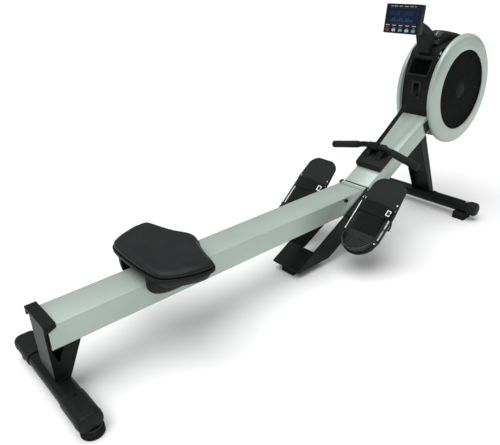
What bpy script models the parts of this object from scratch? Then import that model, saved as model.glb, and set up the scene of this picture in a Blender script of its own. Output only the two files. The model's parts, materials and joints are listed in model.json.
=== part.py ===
"""Folding air-resistance rowing machine, in metres, +Z up.

+X points from the rear stabiliser to the fan, +Y is the rower's left when facing the fan, and
z = 0 is the floor. The origin is on the floor, in the middle of the machine's length and width.
The rail folds up at the hinge, the seat rolls on the rail, and the handle pulls a strap that
winds on a spool behind the slot in the fan housing.
"""

import math

import bmesh
import bpy
from mathutils import Matrix, Vector

# ---------------------------------------------------------------- driving dimensions
GAP = 0.0003  # between pieces that touch

RAIL_REAR_X = -1.176
HINGE_X = 0.285  # where the rail's top meets the inclined tube's top
RAIL_TOP_Z = 0.286
RAIL_WIDTH = 0.135
RAIL_HEIGHT = 0.085
RAIL_WALL = 0.0035
RAIL_END_X = 0.268

INCLINE = math.radians(29.0)
TUBE_LENGTH = 0.508

PIN_X, PIN_Z, PIN_R = 0.281, 0.279, 0.006

PLATE_IN, PLATE_OUT = 0.0690, 0.0755  # the middle support's side plates, half-widths
SUPPORT_REAR_X, SUPPORT_FRONT_X, SUPPORT_Z = -0.161, 0.032, 0.032

FAN_X, FAN_Z = 0.9480, 0.620
DRUM_R, DRUM_WALL, DRUM_HALF = 0.242, 0.006, 0.0725
RING_R, RING_BORE_R = 0.2625, 0.1900
RING_OUT, GRILLE_R = 0.1045, 0.212
FAN_R, FAN_HALF, BLADES = 0.155, 0.045, 20
AXLE_R = 0.008
SPOOL_X, SPOOL_Z, SPOOL_R = 0.752, 0.636, 0.026
FORK_IN, FORK_OUT = 0.0685, 0.0735

SLOT_Z, SLOT_WIDTH, SLOT_HEIGHT = 0.648, 0.028, 0.062
WINDOW_Z, WINDOW_WIDTH, WINDOW_HEIGHT = 0.753, 0.104, 0.078

HANDLE_X, HANDLE_Z = 0.420, 0.435
HANDLE_HALF, HANDLE_R, GRIP_R = 0.239, 0.014, 0.0168
HANDLE_DROP, HANDLE_SWEEP = 0.038, 0.014
STRAP_WIDTH, STRAP_THICK = 0.024, 0.0018

FRONT_BAR_X, FRONT_BAR_Z, FRONT_BAR_R = 0.880, 0.060, 0.030
FRONT_HALF = 0.308
POST_HALF = 0.055

REAR_BAR_X, REAR_BAR_Z = -1.1705, 0.057
REAR_HALF = 0.252
REAR_BAR_SIZE = (0.074, 0.046)
REAR_CAP_SIZE = (0.080, 0.056)
LEVEL_Y, LEVEL_R = 0.232, 0.036

PEDAL_AXLE_X, PEDAL_AXLE_Z, PEDAL_AXLE_R = 0.174, 0.180, 0.007
PEDAL_ANGLE = math.radians(42.0)
PEDAL_Y, PEDAL_HALF = 0.1940, 0.092
HEEL_U, TOE_U = -0.156, 0.211
PEDAL_LOW, PEDAL_TOP = 0.0350, 0.0450
STRAP_U, STRAP_BAND = 0.058, 0.046

SEAT_X = -0.735
SEAT_BOTTOM_Z, SEAT_TOP_Z = 0.3240, 0.3650
ROLLER_R = 0.015
ROLLER_X = 0.070

CONSOLE_X, CONSOLE_Z = 0.5590, 0.974
CONSOLE_SIZE = (0.038, 0.174, 0.120)
CONSOLE_TILT = math.radians(8.0)
CONSOLE_PIN = (0.600, 0.965)
BUTTON_PITCH, BUTTON_W, BUTTON_H = 0.033, 0.018, 0.011

KNOB = (0.8115, -0.022, 0.8827)
KNOB_TILT = math.radians(-42.6)

SIN, COS = math.sin(INCLINE), math.cos(INCLINE)


# ---------------------------------------------------------------- scene set-up
def clear_scene():
    for obj in list(bpy.data.objects):
        bpy.data.objects.remove(obj, do_unlink=True)
    for group in list(bpy.data.collections):
        bpy.data.collections.remove(group)


def new_collection(name):
    group = bpy.data.collections.new(name)
    bpy.context.scene.collection.children.link(group)
    return group


clear_scene()
PARTS = new_collection("rowing_machine")
CUTTERS = new_collection("cutters")


def material(name, colour, metallic, roughness):
    made = bpy.data.materials.new(name)
    made.use_nodes = True
    bsdf = made.node_tree.nodes["Principled BSDF"]
    bsdf.inputs["Base Color"].default_value = (*colour, 1.0)
    bsdf.inputs["Metallic"].default_value = metallic
    bsdf.inputs["Roughness"].default_value = roughness
    return made


ALUMINIUM = material("satin_aluminium", (0.66, 0.70, 0.68), 0.85, 0.42)
BLACK_PAINT = material("black_paint", (0.012, 0.013, 0.013), 0.0, 0.45)
BLACK_PLASTIC = material("black_plastic", (0.018, 0.019, 0.019), 0.0, 0.55)
SILVER_PLASTIC = material("silver_plastic", (0.50, 0.55, 0.53), 0.35, 0.38)
BLACK_RUBBER = material("black_rubber", (0.015, 0.016, 0.016), 0.0, 0.85)
FOAM = material("foam_grip", (0.020, 0.022, 0.023), 0.0, 0.9)
VINYL = material("seat_vinyl", (0.016, 0.018, 0.018), 0.0, 0.5)
STEEL = material("zinc_steel", (0.58, 0.59, 0.60), 1.0, 0.35)
WEBBING = material("black_webbing", (0.014, 0.015, 0.016), 0.0, 0.9)
SCREEN = material("blue_screen", (0.02, 0.04, 0.16), 0.0, 0.1)
RED_BUTTON = material("red_button", (0.45, 0.03, 0.03), 0.0, 0.45)
BLUE_BUTTON = material("blue_button", (0.25, 0.62, 0.80), 0.0, 0.45)
GREY_PLASTIC = material("grey_plastic", (0.20, 0.22, 0.22), 0.0, 0.5)
NYLON = material("nylon_roller", (0.10, 0.10, 0.10), 0.0, 0.5)


# ---------------------------------------------------------------- shape tools
def add_object(name, data, mat=None, group=None):
    obj = bpy.data.objects.new(name, data)
    (group or PARTS).objects.link(obj)
    if mat:
        data.materials.append(mat)
    return obj


def mesh_object(name, bm, mat, group=None):
    mesh = bpy.data.meshes.new(name)
    bm.to_mesh(mesh)
    bm.free()
    return add_object(name, mesh, mat, group)


def bevel(obj, width, segments=2):
    """Round the sharp edges of an object."""
    if obj.type == "CURVE":
        weld = obj.modifiers.new("Weld", "WELD")
        weld.merge_threshold = 0.00005
    made = obj.modifiers.new("Bevel", "BEVEL")
    made.width = width
    made.segments = segments
    made.limit_method = "ANGLE"
    made.angle_limit = math.radians(35)
    made.use_clamp_overlap = True
    return obj


def box(name, low, high, mat, round_edge=0.0, group=None):
    size = [high[i] - low[i] for i in range(3)]
    bm = bmesh.new()
    bmesh.ops.create_cube(bm, size=1.0)
    bmesh.ops.scale(bm, vec=size, verts=bm.verts)
    obj = mesh_object(name, bm, mat, group)
    obj.location = [(high[i] + low[i]) / 2 for i in range(3)]
    if round_edge:
        bevel(obj, round_edge)
    return obj


def rod(name, start, end, radius, mat, sides=24, group=None):
    """A straight cylinder between two points."""
    a, b = Vector(start), Vector(end)
    bm = bmesh.new()
    bmesh.ops.create_cone(
        bm, cap_ends=True, segments=sides, radius1=radius, radius2=radius, depth=(b - a).length
    )
    obj = mesh_object(name, bm, mat, group)
    obj.rotation_euler = (b - a).to_track_quat("Z", "Y").to_euler()
    obj.location = (a + b) / 2
    return obj


def outline(name, loops, thickness, mat, group=None):
    """A flat plate in local XY from closed loops (the first is the outside), centred in local Z."""
    curve = bpy.data.curves.new(name, "CURVE")
    curve.dimensions = "2D"
    curve.fill_mode = "BOTH"
    curve.extrude = thickness / 2
    for loop in loops:
        spline = curve.splines.new("POLY")
        spline.points.add(len(loop) - 1)
        for point, (x, y) in zip(spline.points, loop):
            point.co = (x, y, 0, 1)
        spline.use_cyclic_u = True
    return add_object(name, curve, mat, group)


def side_plate(name, loops, y_low, y_high, mat, group=None):
    """A plate whose outline is in world XZ, between two values of y."""
    obj = outline(name, loops, y_high - y_low, mat, group)
    obj.rotation_euler = (math.pi / 2, 0, 0)
    obj.location = (0, (y_low + y_high) / 2, 0)
    return obj


def as_mesh(obj):
    """The same object as an editable mesh, with its caps joined to its sides."""
    bpy.context.view_layer.update()
    graph = bpy.context.evaluated_depsgraph_get()
    mesh = bpy.data.meshes.new_from_object(obj.evaluated_get(graph))
    bm = bmesh.new()
    bm.from_mesh(mesh)
    bmesh.ops.remove_doubles(bm, verts=bm.verts, dist=0.00002)
    bmesh.ops.recalc_face_normals(bm, faces=bm.faces)
    bm.to_mesh(mesh)
    bm.free()
    made = bpy.data.objects.new(obj.name + "_mesh", mesh)
    for group in obj.users_collection:
        group.objects.link(made)
    made.matrix_world = obj.matrix_world.copy()
    name = obj.name
    bpy.data.objects.remove(obj, do_unlink=True)
    made.name = name
    return made


def hide(obj):
    obj.hide_render = True
    obj.display_type = "WIRE"
    if obj.name not in CUTTERS.objects:
        for group in list(obj.users_collection):
            group.objects.unlink(obj)
        CUTTERS.objects.link(obj)


def boolean(obj, other, operation):
    """Cut or join; both objects are made meshes first, and the other one is hidden."""
    if obj.type == "CURVE":
        obj = as_mesh(obj)
    if other.type == "CURVE":
        other = as_mesh(other)
    hide(other)
    made = obj.modifiers.new("Boolean", "BOOLEAN")
    made.operation = operation
    made.object = other
    made.solver = "EXACT"
    return obj


def cut(obj, other):
    return boolean(obj, other, "DIFFERENCE")


def fuse(obj, other):
    return boolean(obj, other, "UNION")


def turned(name, profile, centre, axis, mat, steps=32, group=None, flip=False):
    """A closed profile of (radius, along) points turned about an axis through centre."""
    bm = bmesh.new()
    verts = [bm.verts.new((r, 0, h)) for r, h in profile]
    on_axis = profile[0][0] < 1e-9 and profile[-1][0] < 1e-9
    for a, b in zip(verts, verts[1:]):
        bm.edges.new((a, b))
    if not on_axis:
        bm.edges.new((verts[-1], verts[0]))
    obj = mesh_object(name, bm, mat, group)
    screw = obj.modifiers.new("Screw", "SCREW")
    screw.axis = "Z"
    screw.steps = screw.render_steps = steps
    screw.use_merge_vertices = True
    screw.merge_threshold = 0.00001
    screw.use_normal_calculate = False
    screw.use_normal_flip = flip
    obj.rotation_euler = Vector(axis).to_track_quat("Z", "Y").to_euler()
    obj.location = centre
    return obj


def swept(name, points, radius, mat, sides_resolution=4):
    """A round bar through points."""
    curve = bpy.data.curves.new(name, "CURVE")
    curve.dimensions = "3D"
    curve.bevel_depth = radius
    curve.bevel_resolution = sides_resolution
    curve.use_fill_caps = True
    spline = curve.splines.new("POLY")
    spline.points.add(len(points) - 1)
    for point, co in zip(spline.points, points):
        point.co = (*co, 1)
    return add_object(name, curve, mat)


def arc(cx, cy, radius, start, end, count):
    """Points on a circle, angles in degrees."""
    step = (end - start) / (count - 1)
    return [
        (
            cx + radius * math.cos(math.radians(start + i * step)),
            cy + radius * math.sin(math.radians(start + i * step)),
        )
        for i in range(count)
    ]


def rounded_rect(width, height, radius, per_corner=4, cx=0.0, cy=0.0):
    w, h = width / 2 - radius, height / 2 - radius
    corners = [(w, h, 0), (-w, h, 90), (-w, -h, 180), (w, -h, 270)]
    loop = []
    for x, y, angle in corners:
        loop += arc(cx + x, cy + y, radius, angle, angle + 90, per_corner)
    return loop


def ring_loop(cx, cy, radius, count=24):
    return arc(cx, cy, radius, 0, 360 - 360 / count, count)


def incline(s, n):
    """World (x, z) of a point s along the inclined tube's top and n above it."""
    return HINGE_X + s * COS - n * SIN, RAIL_TOP_Z + s * SIN + n * COS


def polar(angle, radius):
    """World (x, z) at an angle in degrees and a radius from the fan's axis."""
    a = math.radians(angle)
    return FAN_X + radius * math.cos(a), FAN_Z + radius * math.sin(a)


def smooth_through(points, per_span):
    """A Catmull-Rom curve through points."""
    padded = [points[0], *points, points[-1]]
    found = []
    for i in range(1, len(padded) - 2):
        p0, p1, p2, p3 = (Vector(p) for p in padded[i - 1 : i + 3])
        for k in range(per_span):
            t = k / per_span
            found.append(
                tuple(
                    0.5
                    * (
                        2 * p1
                        + (p2 - p0) * t
                        + (2 * p0 - 5 * p1 + 4 * p2 - p3) * t * t
                        + (3 * p1 - p0 - 3 * p2 + p3) * t**3
                    )
                )
            )
    found.append(tuple(points[-1]))
    return found


def place(obj, matrix):
    """Move an object built in a local frame to its world place."""
    bpy.context.view_layer.update()
    obj.matrix_world = matrix @ obj.matrix_world
    for modifier in obj.modifiers:
        if modifier.type == "BOOLEAN":
            modifier.object.matrix_world = matrix @ modifier.object.matrix_world
            bpy.context.view_layer.update()
    return obj


def body(name, location, members):
    """An empty on a joint's axis that carries a moving body's pieces."""
    empty = bpy.data.objects.new(name, None)
    PARTS.objects.link(empty)
    empty.location = location
    empty.empty_display_size = 0.05
    bpy.context.view_layer.update()
    for obj in members:
        obj.parent = empty
        obj.matrix_parent_inverse = empty.matrix_world.inverted()
    return empty


SIDES = (("left", 1), ("right", -1))


# ---------------------------------------------------------------- front frame
def rail_section():
    outer = rounded_rect(RAIL_WIDTH, RAIL_HEIGHT, 0.004, 3)
    inner = rounded_rect(RAIL_WIDTH - 2 * RAIL_WALL, RAIL_HEIGHT - 2 * RAIL_WALL, 0.002, 2)
    return [outer, inner]


def make_front_tube():
    """The rail's own section, tilted up to the fan housing, its foot cut upright for the hinge."""
    run = TUBE_LENGTH + 0.06
    tube = outline("front_tube", rail_section(), run, ALUMINIUM)
    across = Vector((0, 1, 0))
    along = Vector((COS, 0, SIN))
    up = Vector((-SIN, 0, COS))
    mid = (TUBE_LENGTH - 0.06) / 2
    x, z = incline(mid, -RAIL_HEIGHT / 2)
    frame = Matrix((across, up, along)).transposed().to_4x4()
    frame.translation = Vector((x, 0, z))
    tube.matrix_world = frame
    foot = box("foot_cut", (0.10, -0.2, 0.0), (PIN_X + 0.0115, 0.2, 0.5), None, group=CUTTERS)
    return cut(tube, foot)


def make_middle_support():
    """Two side plates that carry the hinge and run down to the floor, joined by a sloping plate."""
    line = lambda x: RAIL_TOP_Z + math.tan(INCLINE) * (x - HINGE_X)
    fx, fz = incline(0.055, -0.108)
    ear = arc(PIN_X, PIN_Z, 0.0135, 150, 0, 6)
    low = SUPPORT_Z
    loop = [(SUPPORT_REAR_X, low), (SUPPORT_REAR_X, line(SUPPORT_REAR_X)), (0.258, line(0.258))]
    loop += ear + [(fx, fz), (SUPPORT_FRONT_X, low)]
    holes = [
        ring_loop(PIN_X, PIN_Z, PIN_R + GAP),
        ring_loop(PEDAL_AXLE_X, PEDAL_AXLE_Z, PEDAL_AXLE_R + GAP),
    ]
    left = side_plate("middle_support", [loop] + holes, PLATE_IN, PLATE_OUT, BLACK_PAINT)
    right = side_plate("support_right", [loop] + holes, -PLATE_OUT, -PLATE_IN, None)
    cross_end = -0.060
    cross = [
        (SUPPORT_REAR_X, low),
        (SUPPORT_REAR_X, line(SUPPORT_REAR_X)),
        (cross_end, line(cross_end)),
        (cross_end + 0.003, line(cross_end) - 0.0053),
        (SUPPORT_REAR_X + 0.006, line(SUPPORT_REAR_X) - 0.0025),
        (SUPPORT_REAR_X + 0.006, low + 0.003),
        (SUPPORT_FRONT_X - 0.030, low + 0.003),
        (SUPPORT_FRONT_X - 0.030, low),
    ]
    joined = fuse(left, side_plate("support_cross", [cross], -0.072, 0.072, None))
    box(
        "support_pad",
        (SUPPORT_REAR_X + 0.010, -0.033, 0),
        (SUPPORT_FRONT_X - 0.040, 0.033, low - GAP),
        BLACK_RUBBER,
    )
    return fuse(joined, right)


def make_front_post():
    """The post that leans from the tube's underside to the front stabiliser."""
    under = lambda x: RAIL_TOP_Z + math.tan(INCLINE) * (x - HINGE_X) - (RAIL_HEIGHT + GAP) / COS
    loop = [(0.697, under(0.697)), (0.743, under(0.743)), (0.891, 0.070), (0.858, 0.070)]
    post = bevel(side_plate("front_post", [loop], -POST_HALF, POST_HALF, BLACK_PAINT), 0.003, 1)
    post = as_mesh(post)
    bar = rod(
        "post_cut",
        (FRONT_BAR_X, -0.1, FRONT_BAR_Z),
        (FRONT_BAR_X, 0.1, FRONT_BAR_Z),
        FRONT_BAR_R + GAP,
        None,
        group=CUTTERS,
    )
    inner = [(0.7005, under(0.7005) - 0.003), (0.7395, under(0.7395) - 0.003)]
    inner += [(0.8970, 0.0400), (0.8690, 0.0400)]
    half = POST_HALF - 0.003
    return cut(cut(post, side_plate("post_hollow", [inner], -half, half, None)), bar)


def make_front_stabiliser():
    bar_end = FRONT_HALF - 0.012
    r = FRONT_BAR_R
    tube = [(r, bar_end), (r, -bar_end), (r - 0.0022, -bar_end), (r - 0.0022, bar_end)]
    turned("front_stabilizer", tube, (FRONT_BAR_X, 0, FRONT_BAR_Z), (0, 1, 0), BLACK_PAINT, 24)
    inner, outer = FRONT_BAR_R + GAP, FRONT_BAR_R + 0.0045
    for side, sign in SIDES:
        start, end = FRONT_HALF - 0.042, FRONT_HALF
        profile = [(0.0, end), (0.024, end), (0.031, end - 0.003), (outer, end - 0.010)]
        profile += [(outer, start), (inner, start), (inner, bar_end + GAP), (0.0, bar_end + GAP)]
        turned(
            "front_cap_" + side,
            profile,
            (FRONT_BAR_X, 0, FRONT_BAR_Z),
            (0, sign, 0),
            BLACK_PLASTIC,
            24,
        )
        low, high = sorted((sign * 0.200, sign * 0.262))
        foot = box(
            "front_foot_" + side,
            (FRONT_BAR_X - 0.040, low, 0),
            (FRONT_BAR_X + 0.032, high, 0.036),
            BLACK_RUBBER,
        )
        saddle = rod(
            "foot_saddle_" + side,
            (FRONT_BAR_X, low - 0.01, FRONT_BAR_Z),
            (FRONT_BAR_X, high + 0.01, FRONT_BAR_Z),
            inner,
            None,
            group=CUTTERS,
        )
        cut(foot, saddle)


def make_pins():
    rod("hinge_core", (PIN_X, -0.0835, PIN_Z), (PIN_X, 0.0835, PIN_Z), PIN_R, STEEL, 24)
    pin = bpy.data.objects["hinge_core"]
    pin.name = "hinge_pin"
    for sign in (1, -1):
        low, high = sorted((sign * (PLATE_OUT + GAP), sign * 0.0815))
        head = rod("pin_head", (PIN_X, low, PIN_Z), (PIN_X, high, PIN_Z), 0.0095, None, 12)
        fuse(pin, head)
    rod(
        "pedal_axle",
        (PEDAL_AXLE_X, -0.246, PEDAL_AXLE_Z),
        (PEDAL_AXLE_X, 0.246, PEDAL_AXLE_Z),
        PEDAL_AXLE_R,
        STEEL,
        24,
    )


def make_cradle():
    """The block on the tube that the handle hangs in: a base and two hooks, clear for the strap."""
    dx, dz = HANDLE_X - HINGE_X, HANDLE_Z - RAIL_TOP_Z
    hs, hn = dx * COS + dz * SIN, -dx * SIN + dz * COS
    base = [(0.104, GAP), (0.104, 0.021), (0.111, 0.028), (0.150, 0.032), (0.226, 0.032)]
    base += [(0.230, 0.026), (0.230, GAP)]
    hook = [(0.140, 0.020), (0.140, 0.031)]
    hook += arc(hs, hn, HANDLE_R + 0.0015, 215, 365, 9)
    hook += [(hs + 0.0185, hn + 0.004), (hs + 0.0235, hn - 0.002), (0.226, 0.020)]
    to_world = lambda loop: [incline(s, n) for s, n in loop]
    half = RAIL_WIDTH / 2 - 0.0005
    block = side_plate("handle_cradle", [to_world(base)], -half, half, BLACK_PLASTIC)
    for sign in (1, -1):
        low, high = sorted((sign * 0.019, sign * 0.046))
        block = fuse(block, side_plate("hook", [to_world(hook)], low, high, None))
    return block


# ---------------------------------------------------------------- fan housing
def drum_outline():
    """(angle, radius) of the housing's outside, from the tube's top, over the top, to its underside."""
    fascia = [
        (202.2, 0.2510),
        (190.0, 0.2440),
        (176.0, 0.2430),
        (161.0, 0.2495),
        (148.0, 0.2625),
        (137.7, 0.2740),
        (130.0, 0.2765),
        (121.0, 0.2665),
        (111.0, 0.2515),
        (100.0, 0.2432),
        (90.0, DRUM_R),
    ]
    path = smooth_through([Vector(p) for p in fascia], 2)
    path += [(a, DRUM_R) for a in range(81, -136, -9)] + [(-136.0, DRUM_R)]
    return path


def make_housing():
    """The drum's band between the two rings, open where the tube comes in."""
    path = drum_outline()
    outer = [polar(a, r) for a, r in path]
    inner = [polar(a, r - DRUM_WALL) for a, r in path]
    first = polar(path[0][0] - 0.3, path[0][1] - DRUM_WALL)
    inner[0] = first
    shell = side_plate(
        "housing_shell", [outer + inner[::-1]], -DRUM_HALF, DRUM_HALF, BLACK_PLASTIC
    )
    for name, z, wide, tall in (
        ("slot_cut", SLOT_Z, SLOT_WIDTH, SLOT_HEIGHT),
        ("window_cut", WINDOW_Z, WINDOW_WIDTH, WINDOW_HEIGHT),
    ):
        cutter = box(
            name,
            (0.66, -wide / 2, z - tall / 2),
            (0.752, wide / 2, z + tall / 2),
            None,
            group=CUTTERS,
        )
        shell = cut(shell, cutter)
    return shell


def make_rings_and_grilles():
    bore, r, out = RING_BORE_R, RING_R, RING_OUT
    ring = [(bore, out), (r - 0.040, out), (r - 0.020, out - 0.003), (r - 0.008, out - 0.009)]
    ring += [(r - 0.0015, out - 0.017), (r, out - 0.0245), (r - 0.005, out - 0.0305)]
    ring += [(r - 0.024, out - 0.0305), (r - 0.024, out - 0.027), (r - 0.008, out - 0.026)]
    ring += [(r - 0.006, out - 0.020), (r - 0.011, out - 0.0135), (r - 0.022, out - 0.008)]
    ring += [(r - 0.041, out - 0.005), (bore, out - 0.005)]
    slots = []
    for count, r_low, r_high, half in ((20, 0.050, 0.112, 0.0035), (20, 0.124, 0.186, 0.0060)):
        for i in range(count):
            a = 2 * math.pi * i / count
            u, v = (math.cos(a), math.sin(a)), (-math.sin(a), math.cos(a))
            ends = ((r_low, -half), (r_high, -half), (r_high, half), (r_low, half))
            slots.append([(u[0] * r + v[0] * w, u[1] * r + v[1] * w) for r, w in ends])
    for side, sign in SIDES:
        turned("ring_" + side, ring, (FAN_X, 0, FAN_Z), (0, sign, 0), SILVER_PLASTIC, 48)
        disc = outline(
            "grille_" + side, [ring_loop(0, 0, GRILLE_R, 40)] + slots, 0.004, BLACK_PAINT
        )
        disc.rotation_euler = (math.pi / 2, 0, 0)
        disc.location = (FAN_X, sign * (RING_OUT - 0.012), FAN_Z)


def make_forks():
    """The plates that run from the tube's sides into the drum and hold the two shafts."""
    loop = [incline(0.455, -0.016), incline(0.505, -0.016), (0.727, 0.580), (0.727, 0.645)]
    loop += [(0.738, 0.660), (0.764, 0.660), (0.930, 0.654), (0.960, 0.654), (0.979, 0.620)]
    loop += [(0.960, 0.586), (0.930, 0.582), (0.860, 0.525), incline(0.57, -0.070)]
    loop += [incline(0.455, -0.070)]
    holes = [
        ring_loop(FAN_X, FAN_Z, AXLE_R + GAP, 32),
        ring_loop(SPOOL_X, SPOOL_Z, 0.0061),
    ]
    for side, sign in SIDES:
        low, high = sorted((sign * FORK_IN, sign * FORK_OUT))
        side_plate("fork_" + side, [loop] + holes, low, high, BLACK_PAINT)
    rod("fan_axle", (FAN_X, -0.086, FAN_Z), (FAN_X, 0.086, FAN_Z), AXLE_R, STEEL, 32)


def make_fan():
    """A backing disc and hub with straight radial blades."""
    r, w = FAN_R, FAN_HALF
    profile = [(0.026, w), (0.026, -w + 0.003), (r, -w + 0.003), (r, -w)]
    profile += [(AXLE_R + 0.0001, -w), (AXLE_R + 0.0001, w)]
    wheel = turned("fan_wheel", profile, (FAN_X, 0, FAN_Z), (0, 1, 0), BLACK_PAINT, 32)
    bm = bmesh.new()
    for i in range(BLADES):
        turn = Matrix.Rotation(2 * math.pi * i / BLADES, 4, "Z")
        size = Matrix.Diagonal((0.088, 0.002, 2 * w - 0.004, 1))
        lift = Matrix.Translation((0.065 + 0.044, 0, 0.0))
        bmesh.ops.create_cube(bm, size=1.0, matrix=turn @ lift @ size)
    blades = mesh_object("blades", bm, None)
    blades.rotation_euler = Vector((0, 1, 0)).to_track_quat("Z", "Y").to_euler()
    blades.location = (FAN_X, 0, FAN_Z)
    return fuse(wheel, blades)


def make_spool():
    profile = [(0.0, 0.0738), (0.006, 0.0738), (0.006, 0.018), (0.033, 0.018), (0.033, 0.015)]
    profile += [(SPOOL_R, 0.015), (SPOOL_R, -0.015), (0.033, -0.015), (0.033, -0.018)]
    profile += [(0.006, -0.018), (0.006, -0.0738), (0.0, -0.0738)]
    return turned(
        "strap_spool", profile, (SPOOL_X, 0, SPOOL_Z), (0, 1, 0), GREY_PLASTIC, 24
    )


def make_pod_and_arm():
    """The raised pod on top of the housing and the arm that reaches back from it."""
    lift = 0.0010
    under = [polar(a, r + lift) for a, r in drum_outline() if 79 < a < 129]
    pod = under + [(0.990, 0.8690), (0.949, 0.8840), (0.900, 0.8940), (0.862, 0.9010)]
    pod += [(0.838, 0.9010), (0.826, 0.8960), (0.776, 0.8500)]
    pod_obj = side_plate("control_pod", [pod], -0.046, 0.046, BLACK_PLASTIC)
    tip = arc(CONSOLE_PIN[0], CONSOLE_PIN[1], 0.013, 60, 250, 8)
    side = [polar(a, r + lift) for a, r in drum_outline() if 132 < a < 141]
    arm = tip + [(0.668, 0.914), (0.704, 0.892), (0.717, 0.855), (0.7290, 0.8160)] + side[::-1]
    arm += [(0.7660, 0.8420), (0.7700, 0.8530), (0.7735, 0.8700), (0.762, 0.9010), (0.708, 0.935)]
    arm += [(0.650, 0.960)]
    arm_obj = side_plate("console_arm", [arm], -0.030, 0.030, BLACK_PLASTIC)
    trunnion = rod(
        "console_pin",
        (CONSOLE_PIN[0], -0.042, CONSOLE_PIN[1]),
        (CONSOLE_PIN[0], 0.042, CONSOLE_PIN[1]),
        0.004,
        None,
        16,
    )
    fuse(arm_obj, trunnion)
    turn = (math.sin(KNOB_TILT), 0, math.cos(KNOB_TILT))
    profile = [(0.0, 0.016), (0.015, 0.016), (0.018, 0.013), (0.0195, 0.0010), (0.0, 0.0010)]
    turned("resistance_knob", profile, KNOB, turn, GREY_PLASTIC, 24)
    return pod_obj


# ---------------------------------------------------------------- strap and handle
def strap_ends():
    """Where the strap leaves the handle's collar, and where it meets the spool."""
    dx, dz = SPOOL_X - HANDLE_X, SPOOL_Z - HANDLE_Z
    reach = math.hypot(dx, dz)
    wrap = SPOOL_R + GAP + STRAP_THICK / 2
    angle = math.atan2(dz, dx) + math.asin(wrap / reach)
    start = (HANDLE_X + 0.0190 * math.cos(angle), HANDLE_Z + 0.0190 * math.sin(angle))
    end = (SPOOL_X - wrap * math.sin(angle), SPOOL_Z + wrap * math.cos(angle))
    return start, end, angle


def make_strap():
    (x0, z0), (x1, z1), angle = strap_ends()
    t = STRAP_THICK / 2
    nx, nz = -math.sin(angle) * t, math.cos(angle) * t
    loop = [(x0 + nx, z0 + nz), (x0 - nx, z0 - nz), (x1 - nx, z1 - nz), (x1 + nx, z1 + nz)]
    return side_plate("strap", [loop], -STRAP_WIDTH / 2, STRAP_WIDTH / 2, WEBBING)


def handle_point(y):
    """The bar's centre line: straight in the middle, swept down and back to its ends."""
    t = max(0.0, (abs(y) - 0.048) / (HANDLE_HALF - 0.048))
    bend = t if t > 0.2 else t * t / 0.2 * 0.5 + t * 0.5
    return (HANDLE_X - HANDLE_SWEEP * bend, y, HANDLE_Z - HANDLE_DROP * bend)


def make_handle():
    stations = [0.0, 0.048, 0.060, 0.075, 0.090, 0.160, HANDLE_HALF - 0.004]
    ys = [-y for y in stations[:0:-1]] + stations
    bar = swept("handle_bar", [handle_point(y) for y in ys], HANDLE_R - 0.0008, STEEL, 3)
    collar = rod(
        "handle_collar",
        (HANDLE_X, -0.0165, HANDLE_Z),
        (HANDLE_X, 0.0165, HANDLE_Z),
        0.0184,
        None,
        20,
    )
    bar = fuse(bar, collar)
    grips = []
    for side, sign in SIDES:
        inner_r = HANDLE_R - 0.0004
        a = Vector(handle_point(sign * 0.096))
        b = Vector(handle_point(sign * (HANDLE_HALF - 0.004)))
        along = (b - a).normalized()
        length = (b - a).length
        profile = [(0.0, length + 0.004), (GRIP_R - 0.003, length + 0.004)]
        profile += [(GRIP_R, length + 0.001), (GRIP_R, 0.003), (GRIP_R - 0.002, 0.0)]
        profile += [(inner_r, 0.0), (inner_r, length + GAP * 2), (0.0, length + GAP * 2)]
        grips.append(turned("grip_" + side, profile, a, along, FOAM, 20))
    return [bar] + grips


# ---------------------------------------------------------------- console
def make_console():
    t, w, h = CONSOLE_SIZE
    frame = Matrix.Translation((CONSOLE_X, 0, CONSOLE_Z)) @ Matrix.Rotation(
        CONSOLE_TILT, 4, "Y"
    )
    shell = bevel(box("console_housing", (-t / 2, -w / 2, -h / 2), (t / 2, w / 2, h / 2), BLACK_PLASTIC), 0.004)
    face = -t / 2
    screen_w, screen_h, screen_z = 0.150, 0.060, 0.0115
    recess = box(
        "screen_cut",
        (face - 0.01, -screen_w / 2, screen_z - screen_h / 2),
        (face + 0.003, screen_w / 2, screen_z + screen_h / 2),
        None,
        group=CUTTERS,
    )
    shell = cut(shell, recess)
    buttons = []
    button_z = -h / 2 + 0.0130
    for i in range(5):
        y = (2 - i) * BUTTON_PITCH
        pocket = box(
            "button_cut_%d" % (i + 1),
            (face - 0.01, y - BUTTON_W / 2 - 0.0004, button_z - BUTTON_H / 2 - 0.0004),
            (face + 0.0045, y + BUTTON_W / 2 + 0.0004, button_z + BUTTON_H / 2 + 0.0004),
            None,
            group=CUTTERS,
        )
        shell = cut(shell, pocket)
        button = box(
            "button_%d" % (i + 1),
            (face - 0.0022, y - BUTTON_W / 2, button_z - BUTTON_H / 2),
            (face + 0.0024, y + BUTTON_W / 2, button_z + BUTTON_H / 2),
            RED_BUTTON if i == 0 else BLUE_BUTTON,
            0.0008,
        )
        buttons.append(place(button, frame))
    pin = frame.inverted() @ Vector((CONSOLE_PIN[0], 0, CONSOLE_PIN[1]))
    for sign in (1, -1):
        low, high = sorted((sign * 0.0305, sign * 0.0395))
        ear = arc(pin.x, pin.z, 0.011, 90, -90, 7)
        lug = [(t / 2 - 0.006, pin.z + 0.016), *ear, (t / 2 - 0.006, pin.z - 0.016)]
        hole = ring_loop(pin.x, pin.z, 0.0041, 16)
        shell = fuse(shell, side_plate("console_lug", [lug, hole], low, high, None))
    place(shell, frame)
    glass = box(
        "console_screen",
        (face + 0.0004, -screen_w / 2 + 0.0004, screen_z - screen_h / 2 + 0.0004),
        (face + 0.0026, screen_w / 2 - 0.0004, screen_z + screen_h / 2 - 0.0004),
        SCREEN,
    )
    place(glass, frame)
    return shell, glass, buttons


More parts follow.
